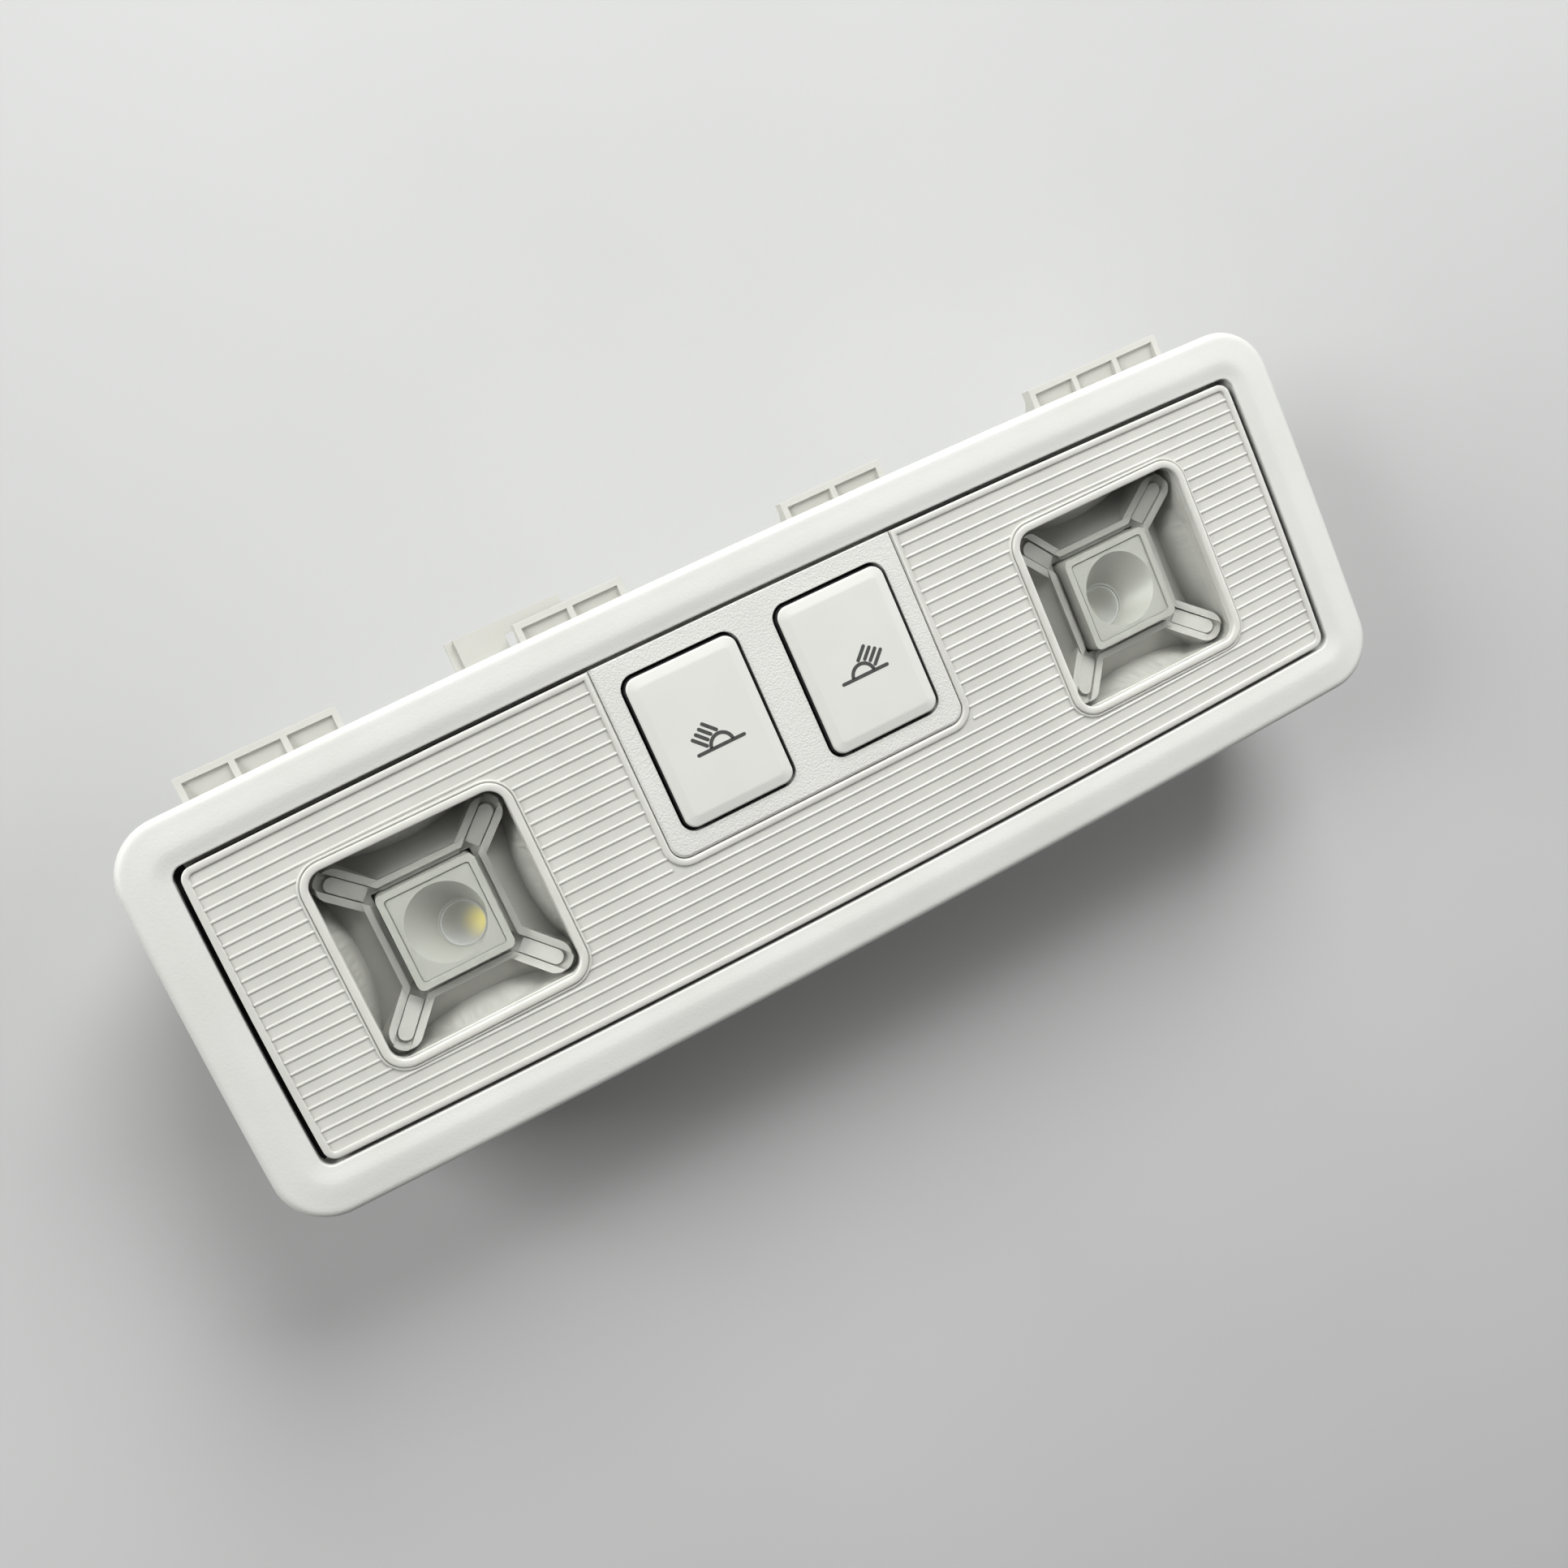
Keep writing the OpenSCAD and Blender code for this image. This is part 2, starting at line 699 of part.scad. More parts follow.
module led(w, h) {
    translate([0, 0, h / 2]) cube([w, w, h], center = true);
    translate([0, 0, h]) cylinder(h = 0.2, r = w * 0.4);
}

module spot_led() {
    color([0.95, 0.9, 0.5]) translate([led_at.x, led_at.y, -board_depth]) led(3, 0.7);
}

module spot_led_left() { at_spot(-1) spot_led(); }
module spot_led_right() { at_spot(1) spot_led(); }

module ambient_leds() {
    color([0.95, 0.92, 0.6]) for (p = ambient_spots)
        translate([p.x, p.y, face_z - board_depth]) led(2.8, 0.7);
}

module circuit_board() {
    color([0.1, 0.4, 0.2]) difference() {
        layer(board_depth, board_depth + board_t) rounded(board_x, board_y, 3);
        for (x = screw_xs, y = screw_ys) translate([x, y, board_z - board_t - 1])
            cylinder(h = board_t + 2, r = screw_r + 0.5);
    }
}

// Places of the parts under the board
chip_at = [-30, -4];
resistors_at = [-40, 12.8];
capacitor_at = [20, -8];

module driver_chip() {
    body = [10, 6, 1.5];
    lead = [0.4, 1.2, 0.6];
    lead_pitch = 1.27;
    translate([chip_at.x, chip_at.y, board_z - board_t]) {
        color([0.15, 0.15, 0.16]) translate([-body.x / 2, -body.y / 2, -body.z - 0.1])
            cube(body);
        color("silver") for (i = [-3:3], s = [-1, 1])
            translate([i * lead_pitch, s * (body.y / 2 + lead.y / 2 - 0.2), -lead.z / 2])
                cube(lead, center = true);
    }
}

module chip_resistors() {
    chip = [chip_l, chip_l / 2, 0.6];
    color([0.2, 0.2, 0.22]) for (i = [-3.5:3.5])
        translate([resistors_at.x + i * chip_pitch, resistors_at.y, board_z - board_t - chip.z / 2])
            cube(chip, center = true);
}

module capacitor() {
    can_r = 3.1;
    can_h = 6;
    base_w = 6.6;
    base_t = 0.8;
    color("silver") translate([capacitor_at.x, capacitor_at.y, board_z - board_t]) {
        translate([-base_w / 2, -base_w / 2, -base_t]) cube([base_w, base_w, base_t]);
        translate([0, 0, -can_h]) cylinder(h = can_h - base_t / 2, r = can_r);
    }
}

module switch_body(side) {
    depth = switch_h - 0.6;
    translate([side * button_x, button_y, board_z]) {
        color([0.2, 0.2, 0.21]) difference() {
            union() {
                translate([-switch_w / 2, -switch_w / 2, 0]) cube([switch_w, switch_w, switch_h]);
                for (sx = [-1, 1], sy = [-1, 1])
                    translate([sx * switch_w * 0.36, sy * switch_w * 0.36, 0])
                        cylinder(h = switch_h + 0.2, r = 0.5);
            }
            translate([0, 0, switch_h - depth]) cylinder(h = depth + 1, r = plunger_r + plunger_gap);
        }
        color("silver") for (sx = [-1, 1], sy = [-1, 1])
            translate([sx * (switch_w / 2 + 0.6) - 0.8, sy * switch_w / 4 - 0.35, 0])
                cube([1.6, 0.7, 0.5]);
    }
}

module switch_body_left() { switch_body(-1); }
module switch_body_right() { switch_body(1); }

module plunger(side) {
    low = board_depth - switch_h + travel + 0.4;
    color([0.85, 0.84, 0.8]) translate([side * button_x, button_y, face_z - low])
        cylinder(h = low - plunger_top, r = plunger_r);
}

module plunger_left() { plunger(-1); }
module plunger_right() { plunger(1); }

// Outside size of the socket in the housing's end wall, and the clearance around it
socket_fit = 0.15;
socket_out_w = socket_w + 2 * socket_wall;
socket_out_h = socket_h + 2 * socket_wall;

module connector_socket() {
    color([0.2, 0.2, 0.22]) translate([socket_x, -socket_out_w / 2, socket_z]) difference() {
        union() {
            cube([socket_deep, socket_out_w, socket_out_h]);
            // Collar that rests against the inside of the wall
            translate([socket_deep - case_wall - 1, -0.8, -socket_rise])
                cube([1, socket_out_w + 1.6, socket_out_h + socket_rise + 0.5]);
        }
        translate([1.5, socket_wall, socket_wall]) cube([socket_deep, socket_w, socket_h]);
        // Slot for the plug's latch
        translate([3, socket_out_w / 2 - 2, socket_out_h - socket_wall - 0.5])
            cube([socket_deep, 4, socket_wall + 1]);
        for (i = [-1.5:1.5]) translate([1, socket_out_w / 2 + i * pin_pitch, socket_out_h / 2])
            cube([4, pin_w + 0.1, pin_w + 0.1], center = true);
    }
}

module connector_pins() {
    low = socket_z + socket_out_h / 2 - pin_w / 2;
    color("gold") for (i = [-1.5:1.5]) translate([socket_x - 2, i * pin_pitch - pin_w / 2, low]) {
        cube([2 + pin_reach, pin_w, pin_w]);
        cube([pin_w, pin_w, board_z - board_t - low]);
    }
}

// A lug: an open tray with upright walls, standing out from the housing's wall
module lug(len, ribs) {
    translate([0, 0, -lug_depth - lug_h]) {
        difference() {
            translate([-len / 2, -bond, 0]) cube([len, lug_reach + bond, lug_h]);
            for (i = [0:ribs]) {
                bay = (len - lug_wall) / (ribs + 1);
                translate([-len / 2 + lug_wall + i * bay, 0, lug_wall])
                    cube([bay - lug_wall, lug_reach - lug_wall, lug_h]);
            }
        }
        // Gussets under the lug
        for (i = [0:ribs + 1]) {
            x = -len / 2 + i * (len - lug_wall) / (ribs + 1);
            translate([x, 0, 0]) rotate([90, 0, 90]) linear_extrude(lug_wall)
                polygon([[-bond, -4.5], [-bond, 0.4], [lug_reach - 1.2, 0.4]]);
        }
    }
}

// The deeper tab with its square hole: its far side steps down
module tab() {
    thick = 1.4;
    step_w = 1.8;
    step_drop = 1;
    translate([-tab_far, case_y, face_z - tab_depth - thick]) difference() {
        union() {
            translate([step_w - bond, -bond, 0])
                cube([tab_w - step_w + bond, tab_reach + bond, thick]);
            translate([0, -bond, -step_drop]) cube([step_w, tab_reach + bond, thick]);
        }
        translate([tab_w / 2 - 0.55, tab_reach - 2 * tab_hole - 0.1, -1])
            cube([tab_hole, tab_hole, thick + 2]);
    }
}

// Outside of the tub: a wide upper part round the board and a narrower one behind it
module tub(x, y, r) {
    layer(flange_t + slack, step_depth) rounded(x, y, r);
    layer(step_depth - 1, face_z - back_rib_h) rounded(x - step_in_x, y - step_in_y, r - 1);
}

module rear_housing() {
    floor_z = back_rib_h + case_floor;
    color([0.84, 0.84, 0.82]) difference() {
        union() {
            tub(case_x, case_y, case_r);
            back_ribs();
            step_gussets();
            for (s = [-1, 1]) {
                translate([s * (case_x - lug_inset), case_y, face_z]) lug(lug_long, 2);
                translate([s * lug_near_x, case_y, face_z]) lug(lug_short, 1);
                translate([s * clip_x, -case_y, face_z]) clip_rails();
            }
            tab();
            at_snaps() snap_barb();
            for (x = screw_xs, y = screw_ys) translate([x, y, boss_low])
                cylinder(h = face_z - step_depth - boss_low + bond, r = boss_r);
        }
        layer(flange_t, ledge_depth) rounded(flange_half_x + slack, flange_half_y + slack,
            flange_r + slack);
        layer(ledge_depth - 1, step_depth - case_floor)
            rounded(cavity_x, cavity_y, case_r - case_wall);
        layer(ledge_depth - 1, face_z - floor_z)
            rounded(cavity_x - step_in_x, cavity_y - step_in_y, case_r - case_wall - 1);
        // Way for the connector socket through the end wall
        translate([well_end - case_wall - 1, -socket_out_w / 2 - socket_fit, socket_z - socket_fit])
            cube([case_wall + 2, socket_out_w + 2 * socket_fit, socket_out_h + 2 * socket_fit]);
        for (x = screw_xs, y = screw_ys) translate([x, y, boss_low + 1])
            cylinder(h = board_z, r = screw_r + screw_gap);
    }
    // Seats that the board is screwed down on
    color([0.84, 0.84, 0.82]) for (x = screw_xs, y = screw_ys) difference() {
        translate([x, y, face_z - step_depth + case_floor - bond])
            cylinder(h = seat_h + bond, r = boss_r);
        translate([x, y, boss_low + 1]) cylinder(h = board_z, r = screw_r + screw_gap);
    }
}

// Places of the ribs on the back and of the gussets, as many as fit
back_rib_t = 1.6;
rib_count = floor((well_end - 6) / back_rib_pitch);
rib_places = [for (i = [-rib_count:rib_count]) i * back_rib_pitch];

// Gussets between the wide and the narrow part of the tub
module step_gussets() {
    top = face_z - step_depth + bond;
    gusset_h = 8;
    for (x = rib_places, s = [-1, 1])
        translate([x - back_rib_t / 2, 0, 0]) rotate([90, 0, 90]) linear_extrude(back_rib_t)
            polygon([[s * (well_side - bond), top - gusset_h], [s * (well_side - bond), top],
                [s * (case_y - 1.5), top]]);
}

// Ribs that stiffen the housing's back, with the rim and the middle pad that it rests on
module back_ribs() {
    pad_half = 11;
    linear_extrude(back_rib_h + bond) {
        difference() {
            rounded(well_end - 2, well_side - 2, 4);
            rounded(well_end - 4, well_side - 4, 2);
        }
        for (x = rib_places)
            translate([x, 0]) square([back_rib_t, 2 * well_side - 6], center = true);
        for (s = [-1, 1]) translate([0, s * back_rib_pitch / 2])
            square([2 * well_end - 6, back_rib_t], center = true);
        rounded(pad_half, pad_half, 2);
    }
}

// Wedge that snaps into a window of the bezel's skirt
module snap_barb() {
    reach = skirt_gap + skirt_t - 0.1;
    translate([-snap_w / 2, 0, -snap_low]) rotate([90, 0, 90]) linear_extrude(snap_w)
        polygon([[-bond, 0], [reach, 0], [-0.01, snap_h], [-bond, snap_h]]);
}

// Two guide rails and a stop for a spring clip
module clip_rails() {
    low = -clip_depth - 8;
    for (s = [-1, 1]) translate([s * (clip_w / 2 + 0.9) - 0.75, -1.6, low])
        cube([1.5, 2, 8.5]);
    translate([-clip_w / 2 - 1, -1.6, low - 1.2]) cube([clip_w + 2, 2, 1.2]);
}

// Chain of flat strips through a list of points, with round bends
module strip(path, t) {
    for (i = [0:len(path) - 2]) {
        step = path[i + 1] - path[i];
        translate(path[i]) rotate(atan2(step.y, step.x)) translate([0, -t / 2])
            square([norm(step), t]);
        translate(path[i]) circle(t / 2);
    }
    translate(path[len(path) - 1]) circle(t / 2);
}

// Spring clip: a leg on the wall, folded over and bulged outwards
module spring_clip(side) {
    path = [[-0.35, -7.6], [-0.35, 1], [-1.2, 1.5], [-2.9, -1.6], [-1.5, -5.6], [-2, -6.6]];
    color("silver") translate([side * clip_x - clip_w / 2, -case_y, face_z - clip_depth])
        rotate([90, 0, 90])
        linear_extrude(clip_w) strip(path, clip_t);
}

module spring_clip_left() { spring_clip(-1); }
module spring_clip_right() { spring_clip(1); }

module board_screws() {
    color("silver") for (x = screw_xs, y = screw_ys) translate([x, y, board_z]) difference() {
        union() {
            cylinder(h = head_t, r = head_r);
            translate([0, 0, -screw_l]) cylinder(h = screw_l + head_t / 2, r = screw_r);
        }
        for (t = [0, 90]) rotate(t) translate([0, 0, head_t]) cube([2.8, 0.5, head_t], center = true);
    }
}

bezel();
lens();
diffuser();
reflector_tray();
switch_panel();
button_left();
button_right();
spot_trim_left();
spot_trim_right();
spot_reflector_left();
spot_reflector_right();
spot_led_left();
spot_led_right();
ambient_leds();
circuit_board();
driver_chip();
chip_resistors();
capacitor();
switch_body_left();
switch_body_right();
plunger_left();
plunger_right();
connector_socket();
connector_pins();
rear_housing();
spring_clip_left();
spring_clip_right();
board_screws();
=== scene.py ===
# Looks of a rear roof reading and dome light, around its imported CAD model.
# Every length is in metres, and the lamp lies face up on the back of its housing.
import math
from contextlib import contextmanager

import bmesh
import bpy
from mathutils import Matrix, Vector


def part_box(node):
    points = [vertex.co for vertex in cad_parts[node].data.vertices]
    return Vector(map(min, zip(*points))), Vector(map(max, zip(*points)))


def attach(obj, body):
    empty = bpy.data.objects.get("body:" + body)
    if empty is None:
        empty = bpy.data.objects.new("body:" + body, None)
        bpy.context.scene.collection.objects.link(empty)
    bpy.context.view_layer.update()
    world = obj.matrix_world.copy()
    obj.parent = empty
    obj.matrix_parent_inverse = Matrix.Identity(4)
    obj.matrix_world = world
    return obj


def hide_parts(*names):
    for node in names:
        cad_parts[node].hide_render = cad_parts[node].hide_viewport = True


bl_info = {
    "name": "Dome light looks",
    "version": (1, 0, 0),
    "blender": (4, 5, 0),
    "location": "View3D > Sidebar > Dome light",
    "description": "Surfaces, lens, buttons and stage of a rear roof lamp",
    "category": "Object",
}

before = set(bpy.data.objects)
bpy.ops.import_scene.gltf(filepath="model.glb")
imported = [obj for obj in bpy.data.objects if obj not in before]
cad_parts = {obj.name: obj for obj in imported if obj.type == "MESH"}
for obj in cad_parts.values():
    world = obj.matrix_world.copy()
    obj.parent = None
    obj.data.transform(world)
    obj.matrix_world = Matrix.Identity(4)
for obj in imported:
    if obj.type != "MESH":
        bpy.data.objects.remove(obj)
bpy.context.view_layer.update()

MM = 0.001
BEZEL_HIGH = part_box("bezel")[1]
LENS_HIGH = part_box("lens")[1]
PANEL_LOW, PANEL_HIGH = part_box("switch_panel")
SIDES = (("left", -1), ("right", 1))
# The four corners of an outline: where the quarter turn starts, and the signs of its place
CORNERS = ((0, 1, 1), (90, -1, 1), (180, -1, -1), (270, 1, -1))
# The two faces of a window pane, as depths below the lens face
PANE_FRONT, PANE_BACK = 1.2 * MM, 2.4 * MM


# Colours and sizes that a user would change

def length(name, description, default):
    """A size that the sidebar shows."""
    return bpy.props.FloatProperty(name=name, description=description, default=default,
                                   unit="LENGTH")


def tint(name, description, default):
    """A colour that the sidebar shows, as an sRGB hex value."""
    return bpy.props.StringProperty(name=name, description=description, default=default)


class LampSizes(bpy.types.PropertyGroup):
    """Sizes of the lamp's visible forms."""
    face_z: length("Lens face", "Height of the lens face over the back", PANEL_HIGH.z)
    flange_x: length("End flange", "Width of the bezel at its ends", 7.3 * MM)
    flange_y: length("Side flange", "Width of the bezel along its long sides", 7.3 * MM)
    edge_bow: length("Long edge bow", "How far the long edges bow out", 1.25 * MM)
    end_bow: length("Short edge bow", "How far the short edges bow out", 0.3 * MM)
    corner_r: length("Corner radius", "Outer corner radius of the bezel", 8.6 * MM)
    window_r: length("Window corner", "Corner radius of the bezel's window", 2 * MM)
    crest_h: length("Crest", "Rise of the bezel's crest over the lens face",
                    BEZEL_HIGH.z - PANEL_HIGH.z)
    edge_r: length("Edge radius", "Radius of the bezel's outer edge", 1 * MM)
    lip_drop: length("Lip drop", "Drop of the bezel's inner lip below the lens face", 0.15 * MM)
    side_gap: length("Side gap", "Gap between bezel and lens along the long sides", 0.6 * MM)
    end_gap: length("End gap", "Gap between bezel and lens at the two ends", 0.9 * MM)
    rim_w: length("Rim width", "Width of the smooth rim around the lens", 1.1 * MM)
    rim_h: length("Rim height", "Height of the rim over the lens's ribbed field", 0.35 * MM)
    rib_pitch: length("Rib pitch", "Distance from one lens rib to the next", 1.98 * MM)
    rib_w: length("Rib width", "Width of a lens rib", 0.5 * MM)
    window_half: length("Half window", "Half the width of a spot window", 15.2 * MM)
    window_corner: length("Spot window corner", "Corner radius of a spot window", 2.7 * MM)
    frame_w: length("Window frame", "Width of the raised frame of a spot window", 1.75 * MM)
    spot_x: length("Spot place", "Distance of a spot window from the middle", 60.1 * MM)
    button_bevel: length("Button bevel", "Width of the bevel around a button's top", 1.8 * MM)
    icon_stroke: length("Sign stroke", "Width of a line of the printed sign", 0.58 * MM)
    grain: length("Grain", "Width of one pebble of the moulded grain", 0.45 * MM)


class LampColours(bpy.types.PropertyGroup):
    """Colours of the lamp, as sRGB hex values."""
    bezel: tint("Bezel", "Grained bezel", "DEDEDA")
    panel: tint("Panel", "Grained switch panel", "DFDFDA")
    button: tint("Button", "Satin buttons", "DEDFD9")
    sign: tint("Sign", "Printed signs", "454644")
    housing: tint("Housing", "Rear housing and its lugs", "CDCDC7")
    diffuser: tint("Diffuser", "Opal sheet behind the ribs", "DBDAD5")
    trim: tint("Spot trim", "Dished trims in the spot windows", "AAA9A4")
    reflector: tint("Reflector", "Square reflector blocks", "9E9E98")
    floor: tint("Floor", "Plain floor", "CBCCCB")


# Small helpers for shader and geometry trees

def linear(hex_text):
    """An sRGB hex value as linear red, green, blue and full alpha."""
    shares = [int(hex_text[i:i + 2], 16) / 255 for i in (0, 2, 4)]
    lit = [s / 12.92 if s <= 0.04045 else ((s + 0.055) / 1.055) ** 2.4 for s in shares]
    return (*lit, 1)


def add(tree, kind, values=None, links=None, **settings):
    """Adds a node with its settings, its input values and what feeds it: a socket, or the
    first one of a node."""
    made = tree.nodes.new(kind)
    for name, value in settings.items():
        setattr(made, name, value)
    for socket, value in (values or {}).items():
        made.inputs[socket].default_value = value
    for socket, source in (links or {}).items():
        first = source.outputs[0] if isinstance(source, bpy.types.Node) else source
        tree.links.new(first, made.inputs[socket])
    return made


def start_material(name, values):
    """A new material with one Principled shader, and the point that its patterns read."""
    material = bpy.data.materials.new(name)
    material.use_nodes = True
    tree = material.node_tree
    tree.nodes.clear()
    shader = add(tree, "ShaderNodeBsdfPrincipled", values)
    add(tree, "ShaderNodeOutputMaterial", links={"Surface": shader})
    place = add(tree, "ShaderNodeTexCoord").outputs["Object"]
    return material, tree, shader, place


def pebbled(tree, place, size):
    """Height of a spark eroded grain: rounded pebbles with finer grit on them."""
    pebbles = add(tree, "ShaderNodeTexVoronoi", {"Scale": 1 / size, "Smoothness": 0.6},
                  {"Vector": place}, feature="SMOOTH_F1")
    grit = add(tree, "ShaderNodeTexNoise", {"Scale": 1.6 / size, "Detail": 3},
               {"Vector": place})
    return add(tree, "ShaderNodeMath", {2: 0.0}, {0: grit, 1: pebbles}, operation="SUBTRACT")


def finish(name, drift, patches=None, grain=None, skin=None, flow=None, draw=None, **values):
    """A finish whose colour drifts slowly between two close ones, in patches of a real size.
    Patches of roughness have a size and two limits. A grain has a size, a depth and a
    strength, and a fine skin has a detail too. Flow stretches the colour's patches and
    draw stretches the skin, the way the real surface was made."""
    material, tree, shader, place = start_material(name, values)
    colour, other, size = drift
    at = place
    if flow:
        at = add(tree, "ShaderNodeMapping", {"Scale": flow}, {"Vector": place})
    cloud = add(tree, "ShaderNodeTexNoise", {"Scale": 1 / size, "Detail": 3}, {"Vector": at})
    # Noise keeps near its middle, so only that part of it is spread over the whole range
    share = add(tree, "ShaderNodeMapRange", {"From Min": 0.35, "From Max": 0.65},
                {"Value": cloud})
    mix = add(tree, "ShaderNodeMix", {6: linear(colour), 7: linear(other)}, {"Factor": share},
              data_type="RGBA")
    tree.links.new(mix.outputs[2], shader.inputs["Base Color"])
    if patches:
        size, low, high = patches
        cloud = add(tree, "ShaderNodeTexNoise", {"Scale": 1 / size, "Detail": 2},
                    {"Vector": place})
        spread = add(tree, "ShaderNodeMapRange",
                     {"From Min": 0.3, "From Max": 0.7, "To Min": low, "To Max": high},
                     {"Value": cloud})
        tree.links.new(spread.outputs[0], shader.inputs["Roughness"])
    if grain:
        size, depth, strength = grain
        relief = pebbled(tree, place, size)
    elif skin:
        size, depth, strength, detail = skin
        at = place
        if draw:
            at = add(tree, "ShaderNodeMapping", {"Scale": draw}, {"Vector": place})
        relief = add(tree, "ShaderNodeTexNoise", {"Scale": 1 / size, "Detail": detail},
                     {"Vector": at})
    if grain or skin:
        bump = add(tree, "ShaderNodeBump", {"Strength": strength, "Distance": depth},
                   {"Height": relief})
        tree.links.new(bump.outputs[0], shader.inputs["Normal"])
    return material


# Materials, each named for what the real one is and how its surface was made

def grained_abs(colours, sizes):
    """Bezel: ABS moulded against a spark eroded steel, so it has a soft, even sheen."""
    # The real grain is nearer 0.2 mm: it is drawn as coarse as it needs to show
    return finish("ABS, moulded with fine grain", (colours.bezel, "DADAD5", 18 * MM),
                  (3 * MM, 0.42, 0.52), grain=(sizes.grain, 0.03 * MM, 0.5),
                  Roughness=0.46, IOR=1.53)


def coarse_grained_abs(colours, sizes):
    """Switch panel: the same ABS with a deeper grain, which breaks up its shine."""
    return finish("ABS, moulded with coarse grain", (colours.panel, "DBDBD6", 12 * MM),
                  grain=(sizes.grain * 0.7, 0.07 * MM, 0.8), Roughness=0.5, IOR=1.53)


def satin_abs(colours):
    """Buttons: painted ABS, smooth to the finger, with a soft satin shine."""
    return finish("ABS, satin painted", (colours.button, "DCDDD7", 9 * MM),
                  (2 * MM, 0.33, 0.4), skin=(0.3 * MM, 0.006 * MM, 0.4, 2),
                  Roughness=0.36, IOR=1.5)


def painted_shade_skirt():
    """Skirts and low walls of the buttons: black painted shade for the dark gaps round them,
    from just above the panel down.
    """
    return finish("ABS, black painted shade", ("1B1C1D", "212223", 3 * MM), (2 * MM, 0.45, 0.6),
                  Roughness=0.5)


def pad_printed_ink(colours):
    """Signs: matt dark ink, pad printed, with slightly uneven cover."""
    return finish("Ink, pad printed", (colours.sign, "4C4D4B", 0.6 * MM), Roughness=0.55)


def polished_polycarbonate():
    """Window panes: clear polycarbonate from a polished mould. Lamps shine through it, so
    that the spot lights behind it are lit."""
    material, tree, glass, place = start_material(
        "Polycarbonate, polished clear",
        {"Base Color": linear("FBFCFB"), "Roughness": 0.03, "IOR": 1.5,
         "Transmission Weight": 1})
    ripple = add(tree, "ShaderNodeTexNoise", {"Scale": 1 / (14 * MM), "Detail": 1},
                 {"Vector": place})
    bump = add(tree, "ShaderNodeBump", {"Strength": 0.25, "Distance": 0.05 * MM},
               {"Height": ripple})
    tree.links.new(bump.outputs[0], glass.inputs["Normal"])
    clear = add(tree, "ShaderNodeBsdfTransparent", {"Color": linear("F7F8F7")})
    rays = add(tree, "ShaderNodeLightPath")
    mix = add(tree, "ShaderNodeMixShader",
              links={0: rays.outputs["Is Shadow Ray"], 1: glass, 2: clear})
    tree.links.new(mix.outputs[0], tree.get_output_node("ALL").inputs["Surface"])
    return material


def etched_polycarbonate():
    """Ribbed field and frames of the lens: milky polycarbonate against etched steel. Light
    sinks into it, so the ribs show by a soft line of light and one of shade."""
    return finish("Polycarbonate, milky and etched", ("E4E4DE", "DFDFD9", 6 * MM),
                  skin=(0.3 * MM, 0.006 * MM, 0.3, 2),
                  **{"Roughness": 0.3, "IOR": 1.5, "Transmission Weight": 0.12,
                     "Subsurface Weight": 0.6, "Subsurface Radius": (1, 1, 1),
                     "Subsurface Scale": 0.6 * MM, "Coat Weight": 0.25,
                     "Coat Roughness": 0.1})


def painted_gap_shade():
    """Side wall of the lens and its flange: black painted shade, which darkens the gap round the
    lens.
    """
    return finish("Black painted shade, lens gap", ("161718", "1C1D1E", 3 * MM), Roughness=0.6)


def milky_bowl(sizes):
    """Bowls over the spot lights: milky silicone, which the phosphor under it tints
    yellow around one point."""
    material, tree, shader, place = start_material(
        "Silicone, milky over phosphor", {"Roughness": 0.38, "IOR": 1.41})
    glow = (sizes.spot_x - 4.5 * MM, 3.1 * MM, sizes.face_z - 10.4 * MM)
    folded = add(tree, "ShaderNodeVectorMath", links={0: place}, operation="ABSOLUTE")
    away = add(tree, "ShaderNodeVectorMath", {1: glow}, {0: folded}, operation="DISTANCE")
    near = add(tree, "ShaderNodeMapRange", {1: 0.3 * MM, 2: 3.2 * MM}, {0: away.outputs[1]},
               interpolation_type="SMOOTHSTEP")
    mix = add(tree, "ShaderNodeMix", {6: linear("EFE397"), 7: linear("B9BABB")},
              {"Factor": near}, data_type="RGBA")
    tree.links.new(mix.outputs[2], shader.inputs["Base Color"])
    return material


def opal_pmma(colours):
    """Diffuser: opal acrylic sheet, milky all through, which hides the lights behind it."""
    return finish("Acrylic, opal sheet", (colours.diffuser, "D6D5CF", 16 * MM),
                  skin=(0.8 * MM, 0.01 * MM, 0.4, 2), Roughness=0.4, IOR=1.49)


def white_polypropylene():
    """Reflector tray: white polypropylene, as moulded, matt and bright."""
    return finish("Polypropylene, moulded white", ("E9E9E6", "E3E3DF", 14 * MM),
                  (4 * MM, 0.45, 0.6), Roughness=0.5, IOR=1.49)


def satin_trim(colours):
    """Spot trims: grey polycarbonate from a satin mould, with a broad cool sheen."""
    return finish("Polycarbonate, satin grey", (colours.trim, "A6A5A0", 8 * MM),
                  skin=(0.25 * MM, 0.008 * MM, 0.35, 2), Roughness=0.34, IOR=1.58)


def satin_reflector(colours):
    """Reflector blocks: the same plastic, a little warmer and softer."""
    return finish("Polycarbonate, satin warm grey", (colours.reflector, "9A9A94", 5 * MM),
                  skin=(0.25 * MM, 0.008 * MM, 0.35, 2), Roughness=0.4, IOR=1.58)


def moulded_housing(colours):
    """Rear housing: PC-ABS as it leaves a plain steel mould, dull with faint flow marks."""
    return finish("PC-ABS, moulded plain", (colours.housing, "C8C8C1", 40 * MM),
                  (5 * MM, 0.42, 0.56), skin=(0.4 * MM, 0.01 * MM, 0.4, 2),
                  flow=(1, 6, 6), Roughness=0.48, IOR=1.55)


def led_phosphor():
    """Lights: yellow phosphor in silicone, which scatters light under its skin."""
    return finish("Silicone with phosphor", ("F3DC63", "EBCB45", 0.4 * MM),
                  Roughness=0.35, IOR=1.41)


